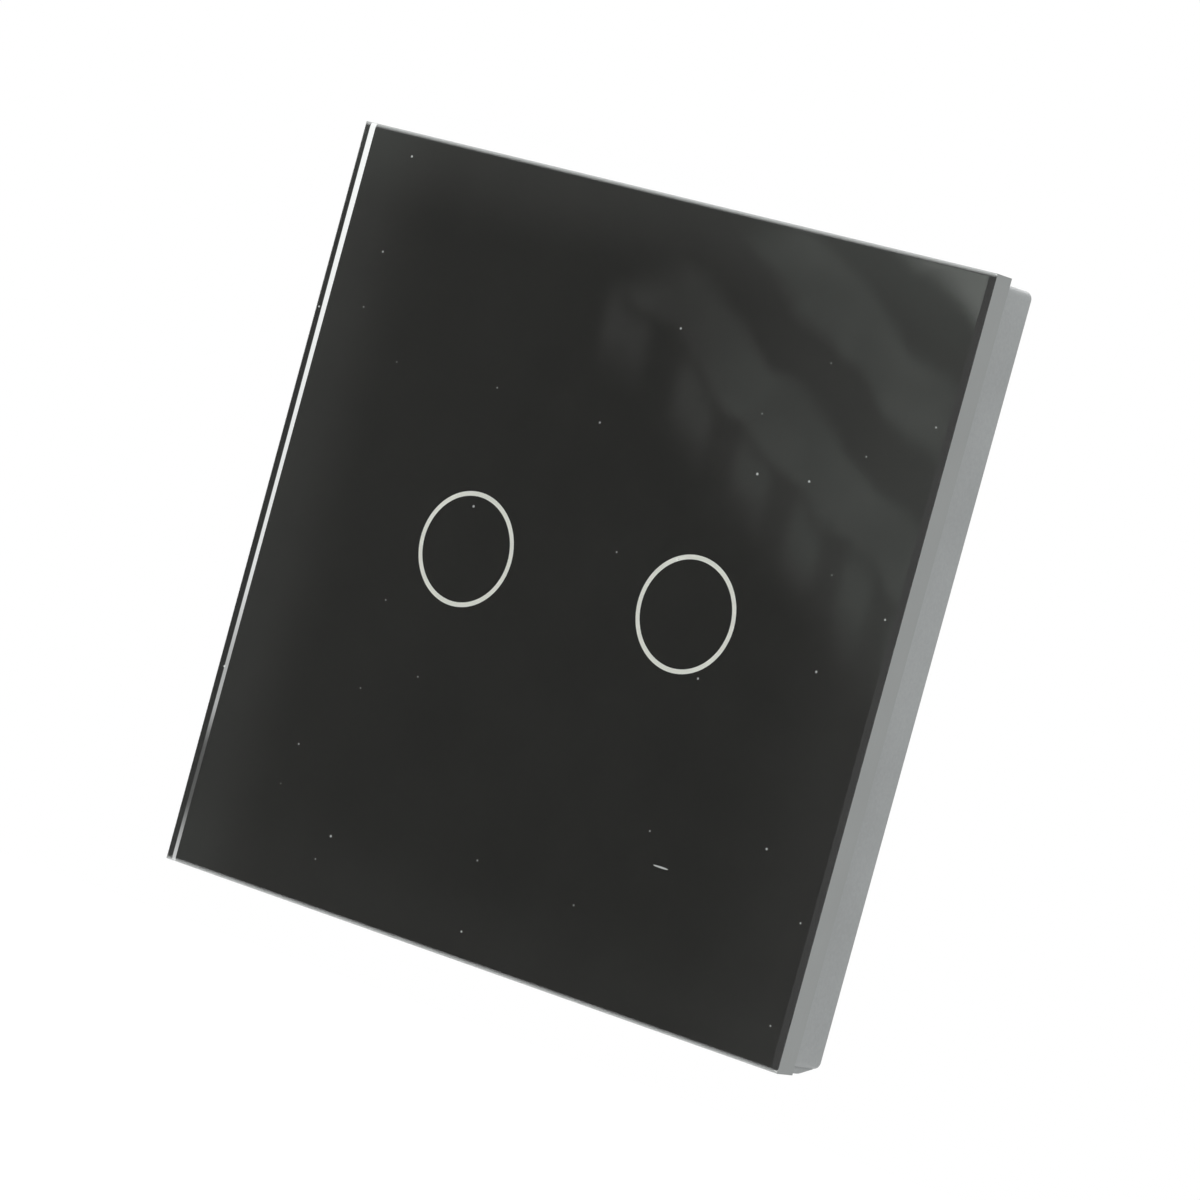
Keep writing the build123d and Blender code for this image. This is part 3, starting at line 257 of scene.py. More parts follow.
def clear_glass(s):
    """Float glass, drawn flat and polished: clear, with a trace of green and a few specks of dust."""
    made, tree, place = start("float_glass")
    low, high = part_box("glass_panel")
    x, y, z = add(tree, "SeparateXYZ", {0: place}).outputs
    flat = add(tree, "CombineXYZ", {0: x, 1: z})

    # Dust: specks, and a few lints drawn out long. Each kind has its cell in mm, the cell's turn
    # and stretch, the share of cells left clean, and its largest reach as a share of the cell
    marks = []
    for cell, turn, stretch, clean, reach_most in (
            (6.5, 0.0, 1.0, 0.72, 0.021), (26.0, 0.6, 0.1, 0.35, 0.006)):
        turned = add(tree, "Mapping",
                     {"Vector": flat, "Rotation": (0, 0, turn), "Scale": (stretch, 1, 1)})
        cells = add(tree, "TexVoronoi", {"Vector": turned, "Scale": per(cell)}, voronoi_dimensions="2D")
        chance = add(tree, "SeparateColor", {0: cells.outputs["Color"]})
        reach = add(tree, "MapRange", {"Value": chance, "From Min": clean, "From Max": 1.0,
                                       "To Min": reach_most / 3, "To Max": reach_most})
        near = add(tree, "Math", {0: cells, 1: reach}, operation="LESS_THAN")
        chosen = add(tree, "Math", {0: chance, 1: clean}, operation="GREATER_THAN")
        marks.append(add(tree, "Math", {0: near, 1: chosen}, operation="MULTIPLY"))
    # It lies on the front face alone, and lets part of the light through
    front = low.y + 0.02 * MM
    dusty_clearness = 0.62
    mark = add(tree, "Math", {0: marks[0], 1: marks[1]}, operation="MAXIMUM")
    on_face = add(tree, "Math", {0: y, 1: front}, operation="LESS_THAN")
    dust = add(tree, "Math", {0: mark, 1: on_face}, operation="MULTIPLY")
    clear = add(tree, "MapRange", {"Value": dust, "To Min": 1.0, "To Max": dusty_clearness})

    # The top and bottom bevels are fine-ground towards the rim, so they turn pale there
    rim_frost = 0.5
    rise = add(tree, "Math", {0: z}, operation="ABSOLUTE")
    frost = add(tree, "MapRange", {"Value": rise, "From Min": high.z - s.bevel_top, "From Max": high.z,
                                   "To Max": rim_frost})
    behind = add(tree, "Math", {0: y, 1: front}, operation="GREATER_THAN")
    ground = add(tree, "Math", {0: frost, 1: behind}, operation="MULTIPLY")
    clear = add(tree, "Math", {0: clear, 1: ground}, operation="SUBTRACT")

    # The print's ink runs over the chamfer at the back
    inked = 0.95 * s.chamfer
    bare = add(tree, "Math", {0: y, 1: high.y + s.bond - inked}, operation="LESS_THAN")
    clear = add(tree, "Math", {0: clear, 1: bare}, operation="MULTIPLY")
    tone = add(tree, "Mix", {0: bare, COLOUR_A: shaded(s.print_black), COLOUR_B: linear("#F8FCFA")},
               data_type="RGBA")
    shader = add(tree, "BsdfPrincipled", {"Base Color": tone, "Roughness": 0.0, "IOR": 1.52,
                                          "Transmission Weight": clear})
    add(tree, "OutputMaterial", {0: shader})
    return made


def ground_glass(s):
    """Glass walls ground on a wheel: frosted grey, with fine lines that run round the panel. Their inner
    side carries painted light and a painted reflection of the black print.
    """
    made, tree, place = start("ground_glass")
    low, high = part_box("glass_panel")
    # Wheel lines 0.12 mm apart across the wall and long along it, over patches of 9 mm
    lines = add(tree, "Mapping", {"Vector": place, "Scale": (0.03, 1.0, 0.03)})
    noise = add(tree, "TexNoise", {"Vector": lines, "Scale": per(0.12), "Detail": 3.0})
    patches = add(tree, "TexNoise", {"Vector": place, "Scale": per(9.0), "Detail": 2.0})
    share = add(tree, "Math", {0: noise, 1: patches, 2: 0.25}, operation="MULTIPLY_ADD")
    shade = add(tree, "Mix", {0: share, COLOUR_A: shaded(s.ground_glass, 0.84),
                              COLOUR_B: shaded(s.ground_glass, 1.14)}, data_type="RGBA")
    rough = add(tree, "MapRange", {"Value": noise, "To Min": 0.42, "To Max": 0.62})
    relief = add(tree, "Bump", {"Height": noise, "Strength": 0.5, "Distance": 0.01 * MM})

    # The walls' inner side, seen through the face, carries painted light: an emission in place of the
    # light that falls on them from outside, most near the top, little below the middle, and some again
    # at the lower end
    x, y, z = add(tree, "SeparateXYZ", {0: place}).outputs
    level = add(tree, "MapRange", {"Value": z, "From Min": 33 * MM, "From Max": -4 * MM,
                                   "To Min": 0.96, "To Max": 0.78})
    # Each step: how it acts, the heights in mm where it starts and ends, and the level at both
    for operation, start_at, end_at, first, last in (
            ("MULTIPLY", -6.0, -20.0, 1.0, 0.52),
            ("MULTIPLY", -22.5, -28.0, 1.0, 0.17),
            ("ADD", -33.0, -41.0, 0.0, 0.52)):
        step = add(tree, "MapRange", {"Value": z, "From Min": start_at * MM, "From Max": end_at * MM,
                                      "To Min": first, "To Max": last}, interpolation_type="SMOOTHSTEP")
        level = add(tree, "Math", {0: level, 1: step}, operation=operation)
    # Their front part gets no painted light and shows a painted reflection of the black print instead,
    # down to a line that slants a little
    blur = 0.06 * MM
    split = add(tree, "MapRange", {"Value": z, "From Min": 42 * MM, "From Max": -6 * MM,
                                   "To Min": low.y + 1.4 * MM, "To Max": low.y + 1.95 * MM},
                interpolation_type="SMOOTHSTEP")
    past = add(tree, "Math", {0: y, 1: split}, operation="SUBTRACT")
    rear = add(tree, "MapRange", {"Value": past, "From Min": -blur, "From Max": blur},
               interpolation_type="SMOOTHSTEP")
    # Only the inner side carries the painted light and the painted reflection: it lies deeper than half
    # of the frosted skin
    sideways = add(tree, "Math", {0: x}, operation="ABSOLUTE")
    upright = add(tree, "Math", {0: z}, operation="ABSOLUTE")
    reach = add(tree, "Math", {0: sideways, 1: upright}, operation="MAXIMUM")
    inside = add(tree, "Math", {0: reach, 1: high.x - s.band / 2}, operation="LESS_THAN")
    # Painted light: the glow's level, kept to the rear part of the inner side
    painted_light_level = add(tree, "Math", {0: level, 1: rear}, operation="MULTIPLY")
    glow = add(tree, "Math", {0: painted_light_level, 1: inside}, operation="MULTIPLY")
    # The inner side's colour is the print's black: a painted reflection of the print
    tone = add(tree, "Mix", {0: inside, COLOUR_A: shade, COLOUR_B: shaded(s.print_black)},
               data_type="RGBA")
    shader = add(tree, "BsdfPrincipled",
                 {"Base Color": tone, "Roughness": rough, "IOR": 1.52, "Normal": relief,
                  "Emission Color": (1, 1, 1, 1), "Emission Strength": glow})
    add(tree, "OutputMaterial", {0: shader})
    return made


def screen_ink(name, colour, change):
    """Enamel ink pressed through a screen and cured: even and dense, with faint clouds."""
    made, tree, place = start(name)
    clouds = add(tree, "TexNoise", {"Vector": place, "Scale": per(9.0), "Detail": 3.0})
    share = add(tree, "MapRange", {"Value": clouds, "From Min": 0.3, "From Max": 0.7})
    shade = add(tree, "Mix", {0: share, COLOUR_A: shaded(colour, 1 - change),
                              COLOUR_B: shaded(colour, 1 + change)}, data_type="RGBA")
    # Bonded to the glass the ink has no skin of its own to shine
    shader = add(tree, "BsdfPrincipled",
                 {"Base Color": shade, "Roughness": 0.6, "Specular IOR Level": 0.0})
    add(tree, "OutputMaterial", {0: shader})
    return made


def moulded(name, colour, grain, depth, roughness):
    """Injection-moulded plastic: the mould's spark-eroded skin gives it a fine even grain.

    Grain and depth are the pattern's size and relief in millimetres.
    """
    made, tree, place = start(name)
    skin = add(tree, "TexNoise",
               {"Vector": place, "Scale": per(grain), "Detail": 3.0, "Roughness": 0.6})
    flow = add(tree, "TexNoise", {"Vector": place, "Scale": per(14.0), "Detail": 2.0})
    both = add(tree, "Math", {0: skin, 1: flow}, operation="ADD")
    share = add(tree, "MapRange", {"Value": both, "From Min": 0.7, "From Max": 1.3})
    shade = add(tree, "Mix", {0: share, COLOUR_A: shaded(colour, 0.9),
                              COLOUR_B: shaded(colour, 1.1)}, data_type="RGBA")
    # A pale grain of filler shows here and there, in a quarter of cells of 2.4 mm
    filled, largest, strength = 0.75, 0.05, 0.35
    cells = add(tree, "TexVoronoi", {"Vector": place, "Scale": per(2.4)})
    chance = add(tree, "SeparateColor", {0: cells.outputs["Color"]})
    reach = add(tree, "MapRange",
                {"Value": chance, "From Min": filled, "From Max": 1.0, "To Max": largest})
    grains = add(tree, "Math", {0: cells, 1: reach}, operation="LESS_THAN")
    faint = add(tree, "Math", {0: grains, 1: strength}, operation="MULTIPLY")
    shade = add(tree, "Mix", {0: faint, COLOUR_A: shade, COLOUR_B: linear("#F4F4F4")},
                data_type="RGBA")
    rough = add(tree, "MapRange", {"Value": skin, "From Min": 0.3, "From Max": 0.7,
                                   "To Min": roughness - 0.06, "To Max": roughness + 0.06})
    relief = add(tree, "Bump", {"Height": skin, "Strength": 0.6, "Distance": depth * MM})
    shader = add(tree, "BsdfPrincipled",
                 {"Base Color": shade, "Roughness": rough, "IOR": 1.53, "Normal": relief})
    add(tree, "OutputMaterial", {0: shader})
    return made


def metal(name, colour, roughness, streak, stretch=(1.0, 1.0, 1.0), stain=0.06):
    """Bare or plated metal: fine streaks the way it was rolled, drawn or turned, and faint stains.

    Streak is the streaks' spacing in millimetres, drawn out where stretch is below 1.
    """
    made, tree, place = start(name)
    lines = add(tree, "Mapping", {"Vector": place, "Scale": stretch})
    streaks = add(tree, "TexNoise",
                  {"Vector": lines, "Scale": per(streak), "Detail": 4.0, "Roughness": 0.6})
    stains = add(tree, "TexNoise", {"Vector": place, "Scale": per(7.0), "Detail": 3.0})
    both = add(tree, "Math", {0: streaks, 1: stains}, operation="ADD")
    share = add(tree, "MapRange", {"Value": both, "From Min": 0.7, "From Max": 1.3})
    shade = add(tree, "Mix", {0: share, COLOUR_A: shaded(colour, 1 - stain),
                              COLOUR_B: shaded(colour, 1 + stain)}, data_type="RGBA")
    rough = add(tree, "MapRange", {"Value": both, "From Min": 0.7, "From Max": 1.3,
                                   "To Min": roughness * 0.75, "To Max": roughness * 1.25})
    relief = add(tree, "Bump", {"Height": streaks, "Strength": 0.25, "Distance": 0.003 * MM})
    shader = add(tree, "BsdfPrincipled",
                 {"Base Color": shade, "Metallic": 1.0, "Roughness": rough, "Normal": relief})
    add(tree, "OutputMaterial", {0: shader})
    return made


def foam_tape():
    """Acrylic foam tape: pale grey, matt, with closed cells of 0.25 mm along its cut edge."""
    made, tree, place = start("acrylic_foam_tape")
    cells = add(tree, "TexVoronoi", {"Vector": place, "Scale": per(0.25)})
    shade = add(tree, "Mix", {0: cells, COLOUR_A: linear("#A4A4A1"), COLOUR_B: linear("#8A8A86")},
                data_type="RGBA")
    relief = add(tree, "Bump", {"Height": cells, "Strength": 0.6, "Distance": 0.03 * MM})
    shader = add(tree, "BsdfPrincipled", {"Base Color": shade, "Roughness": 0.85, "Normal": relief})
    add(tree, "OutputMaterial", {0: shader})
    return made


def opal_acrylic():
    """Acrylic with a white diffuser in it: milky, with light inside and a smooth skin."""
    made, tree, place = start("opal_acrylic")
    clouds = add(tree, "TexNoise", {"Vector": place, "Scale": per(4.0), "Detail": 2.0})
    shade = add(tree, "Mix", {0: clouds, COLOUR_A: linear("#E0E4E4"), COLOUR_B: linear("#EDF0EF")},
                data_type="RGBA")
    skin = add(tree, "TexNoise", {"Vector": place, "Scale": per(1.5), "Detail": 1.0})
    relief = add(tree, "Bump", {"Height": skin, "Strength": 0.2, "Distance": 0.02 * MM})
    shader = add(tree, "BsdfPrincipled",
                 {"Base Color": shade, "Roughness": 0.18, "IOR": 1.49, "Normal": relief,
                  "Transmission Weight": 0.25, "Subsurface Weight": 0.35,
                  "Subsurface Radius": (1.0, 1.0, 1.0), "Subsurface Scale": 1.2 * MM})
    add(tree, "OutputMaterial", {0: shader})
    return made


def solder_mask(colour):
    """Glass-fibre laminate under green solder mask: the copper tracks stand up paler."""
    made, tree, place = start("solder_mask")
    x, y, z = add(tree, "SeparateXYZ", {0: place}).outputs
    flat = add(tree, "CombineXYZ", {0: x, 1: z})
    # Fields of 6.5 mm, each by its chance: tracks that run across, none, tracks that run up, and
    # solid copper
    across_below, up_above, solid_above = 0.4, 0.6, 0.84
    fields = add(tree, "TexVoronoi", {"Vector": flat, "Scale": per(6.5), "Randomness": 0.8},
                 voronoi_dimensions="2D", distance="CHEBYCHEV")
    chance = add(tree, "SeparateColor", {0: fields.outputs["Color"]})
    copper = add(tree, "Math", {0: chance, 1: solid_above}, operation="GREATER_THAN")
    # Tracks in rows of 1.27 mm, as the parts' legs are spaced, each 0.32 of its row wide
    row, width = 1.27 * MM, 0.32
    for way, operation, limit in ((z, "LESS_THAN", across_below), (x, "GREATER_THAN", up_above)):
        rows = add(tree, "Math", {0: way, 1: row}, operation="DIVIDE")
        step = add(tree, "Math", {0: rows}, operation="FRACT")
        tracks = add(tree, "Math", {0: step, 1: width}, operation="LESS_THAN")
        here = add(tree, "Math", {0: chance, 1: limit}, operation=operation)
        laid = add(tree, "Math", {0: tracks, 1: here}, operation="MULTIPLY")
        copper = add(tree, "Math", {0: copper, 1: laid}, operation="MAXIMUM")
    # Tinned through-holes on a grid of 2.54 mm, in some of the fields
    pad_reach, bored_below = 0.18, 0.3
    pads = add(tree, "TexVoronoi", {"Vector": flat, "Scale": per(2.54), "Randomness": 0.0},
               voronoi_dimensions="2D")
    ring = add(tree, "Math", {0: pads, 1: pad_reach}, operation="LESS_THAN")
    bored = add(tree, "Math", {0: chance, 1: bored_below}, operation="LESS_THAN")
    tinned = add(tree, "Math", {0: ring, 1: bored}, operation="MULTIPLY")
    # The routed edges, whose faces don't look forward or back, show the bare laminate
    facing = add(tree, "SeparateXYZ", {0: add(tree, "TexCoord").outputs["Normal"]}).outputs[1]
    depth = add(tree, "Math", {0: facing}, operation="ABSOLUTE")
    edge = add(tree, "Math", {0: depth, 1: 0.5}, operation="LESS_THAN")
    tinned = add(tree, "Math", {0: tinned, 1: edge}, operation="GREATER_THAN")
    tones = add(tree, "Mix", {0: copper, COLOUR_A: shaded(colour, 0.78),
                              COLOUR_B: shaded(colour, 1.25)}, data_type="RGBA")
    tones = add(tree, "Mix", {0: tinned, COLOUR_A: tones, COLOUR_B: linear("#C9CBC9")},
                data_type="RGBA")
    weave = add(tree, "TexNoise", {"Vector": place, "Scale": per(0.5), "Detail": 3.0})
    laminate = add(tree, "Mix", {0: weave, COLOUR_A: linear("#8F8F5E"), COLOUR_B: linear("#BDB98A")},
                   data_type="RGBA")
    shade = add(tree, "Mix", {0: edge, COLOUR_A: tones, COLOUR_B: laminate}, data_type="RGBA")
    rough = add(tree, "MapRange", {"Value": edge, "To Min": 0.28, "To Max": 0.7})
    relief = add(tree, "Bump", {"Height": copper, "Strength": 0.8, "Distance": 0.035 * MM})
    shader = add(tree, "BsdfPrincipled",
                 {"Base Color": shade, "Roughness": rough, "Metallic": tinned, "IOR": 1.55,
                  "Normal": relief})
    add(tree, "OutputMaterial", {0: shader})
    return made


def fish_paper():
    """Vulcanised fibre sheet: smooth grey-brown board with long fibres in it."""
    made, tree, place = start("vulcanised_fibre")
    lines = add(tree, "Mapping", {"Vector": place, "Scale": (0.15, 1.0, 1.0)})
    fibres = add(tree, "TexNoise",
                 {"Vector": lines, "Scale": per(0.4), "Detail": 5.0, "Roughness": 0.7})
    shade = add(tree, "Mix", {0: fibres, COLOUR_A: linear("#8F8A7D"), COLOUR_B: linear("#B0AB9E")},
                data_type="RGBA")
    relief = add(tree, "Bump", {"Height": fibres, "Strength": 0.4, "Distance": 0.01 * MM})
    shader = add(tree, "BsdfPrincipled", {"Base Color": shade, "Roughness": 0.62, "Normal": relief})
    add(tree, "OutputMaterial", {0: shader})
    return made


def two_tone(name, axis, edges, colours, roughness, metallic, grain):
    """A part in two finishes, inner and outer, that meet at two places along one axis."""
    made, tree, place = start(name)
    along = add(tree, "SeparateXYZ", {0: place}).outputs[axis]
    reach = add(tree, "Math", {0: along, 1: sum(edges) / 2}, operation="SUBTRACT")
    away = add(tree, "Math", {0: reach}, operation="ABSOLUTE")
    half, soft = (edges[1] - edges[0]) / 2, 0.05 * MM
    share = add(tree, "MapRange", {"Value": away, "From Min": half - soft, "From Max": half + soft})
    skin = add(tree, "TexNoise", {"Vector": place, "Scale": per(grain), "Detail": 3.0})
    uneven = add(tree, "MapRange", {"Value": skin, "To Min": 0.86, "To Max": 1.14})
    shade = add(tree, "Mix", {0: share, COLOUR_A: linear(colours[0]), COLOUR_B: linear(colours[1])},
                data_type="RGBA")
    tone = add(tree, "VectorMath", {0: shade, "Scale": uneven}, operation="SCALE")
    rough = add(tree, "MapRange", {"Value": share, "To Min": roughness[0], "To Max": roughness[1]})
    bare = add(tree, "MapRange", {"Value": share, "To Min": metallic[0], "To Max": metallic[1]})
    relief = add(tree, "Bump", {"Height": skin, "Strength": 0.3, "Distance": 0.01 * MM})
    shader = add(tree, "BsdfPrincipled",
                 {"Base Color": tone, "Roughness": rough, "Metallic": bare, "Normal": relief})
    add(tree, "OutputMaterial", {0: shader})
    return made


def wound(name, axis, pitch, colours, roughness, metallic, first_turn):
    """Turns laid side by side: a ridge for each turn, and painted shade in the gaps between them."""
    made, tree, place = start(name)
    moved = add(tree, "Mapping", {"Vector": place, "Location": [-v for v in first_turn]})
    # A sine band has one ridge in each 2 pi / 20 of its scaled length
    turns = add(tree, "TexWave",
                {"Vector": moved, "Scale": per(pitch) * math.pi / 10, "Distortion": 0.3,
                 "Detail": 1.0, "Detail Scale": 0.2},
                wave_type="BANDS", bands_direction=axis, wave_profile="SIN").outputs["Fac"]
    # The first colour is painted shade in the gaps between the turns
    shade = add(tree, "Mix", {0: turns, COLOUR_A: linear(colours[0]), COLOUR_B: linear(colours[1])},
                data_type="RGBA")
    relief = add(tree, "Bump", {"Height": turns, "Strength": 0.8, "Distance": pitch / 3 * MM})
    shader = add(tree, "BsdfPrincipled",
                 {"Base Color": shade, "Roughness": roughness, "Metallic": metallic,
                  "Normal": relief})
    add(tree, "OutputMaterial", {0: shader})
    return made


# Part 4: one operator for each piece or group of like pieces


class SWITCH_OT_glass(bpy.types.Operator):
    """Model the clear glass and the frosted skin of its ground walls."""

    bl_idname = "switch.glass"
    bl_label = "Glass"

    def execute(self, context):
        s = context.scene.switch_panel
        low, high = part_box("glass_panel")
        inset = Vector((s.wall_inset, 0, s.wall_inset))
        back = high.y + s.bond
        plate = begin("glass_plate", low + inset, (high.x - inset.x, back, high.z - inset.z))
        for depth, leg in ((low.y, s.rim), (back, s.chamfer)):
            pick(plate, "edges", flat_at(depth))
            bpy.ops.mesh.bevel(offset=leg, segments=1, affect="EDGES")
        # The front bevel runs wider on the right, at the top and at the bottom
        in_front = flat_at(low.y)
        for axis, side, width in ((0, 1, s.bevel_right), (2, 1, s.bevel_top), (2, -1, s.bevel_top)):
            on_side = square_to(axis, side)
            pick(plate, "edges", lambda edge: in_front(edge) and on_side(edge))
            shift = Vector()
            shift[axis] = -side * (width - s.rim)
            bpy.ops.transform.translate(value=shift)
        # Bevels steeper than 10 degrees stay sharp
        complete(plate, clear_glass(s), smooth_angle=10)
        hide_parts("glass_panel")

        # The skin begins as a tube round the walls, and gets its depth inwards
        skin = begin("glass_edge", low + Vector((0, s.rim + s.arris, 0)), high)
        pick(skin, "faces", lambda face: abs(face.normal.y) > 0.9)
        bpy.ops.mesh.delete(type="FACE")
        bpy.ops.object.mode_set(mode="OBJECT")
        wall = skin.modifiers.new("wall", "SOLIDIFY")
        wall.thickness = s.band
        wall.offset = -1
        wall.use_even_offset = True
        bpy.ops.object.modifier_apply(modifier=wall.name)
        # The left wall was ground deeper towards the top
        inner = low.x + s.band
        bpy.ops.object.mode_set(mode="EDIT")
        pick(skin, "edges", lambda edge: all(
            abs(v.co.x - inner) < SAME and v.co.z > 0 for v in edge.verts))
        bpy.ops.transform.translate(value=(s.left_wear, 0, 0))
        complete(skin, ground_glass(s), smooth_angle=20)
        return {"FINISHED"}


class SWITCH_OT_print(bpy.types.Operator):
    """Finish the black print and the two white rings behind the glass."""

    bl_idname = "switch.print"
    bl_label = "Print and rings"

    def execute(self, context):
        s = context.scene.switch_panel
        dress(screen_ink("black_screen_ink", s.print_black, change=0.12), "panel_print")
        dress(screen_ink("white_screen_ink", s.ring_white, change=0.02),
              "ring_window_left", "ring_window_right")
        return {"FINISHED"}


class SWITCH_OT_frame(bpy.types.Operator):
    """Finish the moulded frame and the tape that carries the glass."""

    bl_idname = "switch.frame"
    bl_label = "Frame and tape"

    def execute(self, context):
        s = context.scene.switch_panel
        dress(moulded("grey_abs", s.frame_grey, grain=0.35, depth=0.02, roughness=0.5), "panel_frame")
        dress(foam_tape(), "panel_tape")
        return {"FINISHED"}


class SWITCH_OT_strap(bpy.types.Operator):
    """Finish the zinc-plated strap and the fibre sheet in front of it."""

    bl_idname = "switch.strap"
    bl_label = "Strap and insulation"

    def execute(self, context):
        s = context.scene.switch_module
        dress(metal("zinc_plated_sheet", s.zinc, roughness=0.4, streak=0.4, stretch=(0.1, 1.0, 1.0),
                    stain=0.04), "mounting_strap")
        dress(fish_paper(), "insulation_sheet")
        return {"FINISHED"}


class SWITCH_OT_cover(bpy.types.Operator):
    """Finish the front cover, its screws, the light guides and the touch springs."""

    bl_idname = "switch.cover"
    bl_label = "Cover, guides and springs"

    def execute(self, context):
        s = context.scene.switch_module
        dress(moulded("dark_abs_cover", s.case_dark, grain=0.4, depth=0.02, roughness=0.46),
              "front_cover")
        dress(opal_acrylic(), "light_guide_left", "light_guide_right")
        dress(metal("bright_drawn_wire", linear("#CBCBCB"), roughness=0.2, streak=0.2),
              "touch_spring_left", "touch_spring_right")
        dress(metal("zinc_plated_screw", linear("#C4C4C5"), roughness=0.3, streak=0.25),
              "case_screws")
        return {"FINISHED"}


class SWITCH_OT_housing(bpy.types.Operator):
    """Finish the rear housing."""

    bl_idname = "switch.housing"
    bl_label = "Rear housing"

    def execute(self, context):
        s = context.scene.switch_module
        dress(moulded("dark_abs_housing", s.case_dark, grain=0.5, depth=0.03, roughness=0.52),
              "rear_housing")
        return {"FINISHED"}


class SWITCH_OT_touch_board(bpy.types.Operator):
    """Finish the touch board, the parts soldered on it and the pin header."""

    bl_idname = "switch.touch_board"
    bl_label = "Touch board"

    def execute(self, context):
        s = context.scene.switch_module
        dress(solder_mask(s.board), "touch_board", "power_board")
        # A phosphor lens at the front of each diode, and its white case behind
        low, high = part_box("indicator_leds")
        lens = (low.y - 1 * MM, low.y + 0.45 * MM)
        dress(two_tone("led_phosphor", 1, lens, ("#E8D44A", "#ECEBE2"),
                       roughness=(0.25, 0.45), metallic=(0, 0), grain=0.3), "indicator_leds")
        dress(moulded("moulded_epoxy", linear("#2C2C2F"), grain=0.2, depth=0.01, roughness=0.55),
              "touch_chip", "bridge_rectifier")
        dress(metal("tinned_copper", linear("#D3D3D0"), roughness=0.28, streak=0.4),
              "touch_chip_leads")
        # A resistor's dark glaze lies between its two tinned ends
        cap = 0.3 * MM
        low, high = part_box("board_resistors")
        dress(two_tone("chip_resistor", 2, (low.z + cap, high.z - cap), ("#2E2E33", "#CFCFCB"),
                       roughness=(0.35, 0.3), metallic=(0, 1), grain=0.2), "board_resistors")
        dress(moulded("header_nylon", linear("#272727"), grain=0.4, depth=0.01, roughness=0.42),
              "header_strip", "header_socket")
        dress(metal("gold_flash", linear("#E7CE90"), roughness=0.22, streak=0.3,
                    stretch=(1.0, 0.2, 1.0)), "header_pins")
        return {"FINISHED"}


class SWITCH_OT_relays(bpy.types.Operator):
    """Finish the two relays, inside and out."""

    bl_idname = "switch.relays"
    bl_label = "Relays"

    def execute(self, context):
        dress(moulded("relay_polyester", linear("#38383C"), grain=0.4, depth=0.01, roughness=0.34),
              "relay_cases", "relay_bases")
        dress(metal("nickel_plated_iron", linear("#B3B3B5"), roughness=0.36, streak=0.3,
                    stretch=(1.0, 0.2, 1.0)),
              "relay_yokes", "relay_armature_left", "relay_armature_right")
        dress(moulded("bobbin_nylon", linear("#E1DED3"), grain=0.5, depth=0.01, roughness=0.4),
              "relay_bobbins")
        # Enamelled wire is about 0.05 mm thick, drawn 0.2 mm so that the turns show
        low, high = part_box("relay_windings")
        # Its darker colour is painted shade in the gaps between the turns
        dress(wound("enamelled_wire", "Y", 0.2, ("#7E4A26", "#D08A55"), roughness=0.32, metallic=0.8,
                    first_turn=(0, low.y, 0)), "relay_windings")
        dress(metal("rolled_bronze", linear("#D3AA7C"), roughness=0.26, streak=0.3,
                    stretch=(1.0, 0.1, 1.0)),
              "relay_fixed_contacts", "relay_leaf_left", "relay_leaf_right")
        return {"FINISHED"}


class SWITCH_OT_supply(bpy.types.Operator):
    """Finish the parts of the power supply."""

    bl_idname = "switch.supply"
    bl_label = "Power supply"

    def execute(self, context):
        # The sleeve leaves the can's bare end free
        low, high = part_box("bulk_capacitor")
        sleeve = (low.y, high.y - 0.15 * MM)
        dress(two_tone("pvc_sleeve", 1, sleeve, ("#30303F", "#C9CACB"),
                       roughness=(0.22, 0.35), metallic=(0, 1), grain=0.8), "bulk_capacitor")
        dress(moulded("epoxy_box", linear("#E1C459"), grain=0.4, depth=0.01, roughness=0.4),
              "film_capacitor")
        dress(moulded("sintered_ferrite", linear("#454545"), grain=0.25, depth=0.02, roughness=0.6),
              "transformer_core")
        # Tape 4.5 mm wide
        low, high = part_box("transformer_winding")
        # Its darker colour is painted shade in the gaps between the tape's turns
        dress(wound("polyester_tape", "Z", 4.5, ("#C9AE42", "#E6D26E"), roughness=0.25, metallic=0.0,
                    first_turn=(0, 0, low.z)), "transformer_winding")
        dress(moulded("dipped_epoxy", linear("#386CAA"), grain=1.6, depth=0.06, roughness=0.32),
              "varistor")
        dress(moulded("fuse_polyester", linear("#614530"), grain=0.5, depth=0.01, roughness=0.36),
              "fuse")
        return {"FINISHED"}


class SWITCH_OT_terminals(bpy.types.Operator):
    """Finish the terminal block, its bars, cages and screws."""

    bl_idname = "switch.terminals"
    bl_label = "Terminals"

    def execute(self, context):
        s = context.scene.switch_module
        dress(moulded("terminal_polyamide", s.terminal_grey, grain=0.45, depth=0.02, roughness=0.48),
              "terminal_block")
        dress(metal("rolled_copper", linear("#DAA67C"), roughness=0.3, streak=0.3,
                    stretch=(0.1, 1.0, 1.0)), "terminal_bars")
        dress(metal("yellow_zinc", linear("#CEC7A8"), roughness=0.3, streak=0.35,
                    stretch=(1.0, 0.15, 1.0), stain=0.12),
              *("terminal_cage_%d" % number for number in (1, 2, 3, 4)))
        dress(metal("turned_screw", linear("#C4C4C5"), roughness=0.28, streak=0.2),
              *("terminal_screw_%d" % number for number in (1, 2, 3, 4)))
        return {"FINISHED"}


def sheet(name, size, material):
    """A square sheet of the stage at the origin, facing up."""
    bpy.ops.object.select_all(action="DESELECT")
    bpy.ops.mesh.primitive_plane_add(size=size)
    made = bpy.context.object
    made.name = name
    made.data.materials.append(material)
    made.select_set(False)
    return made


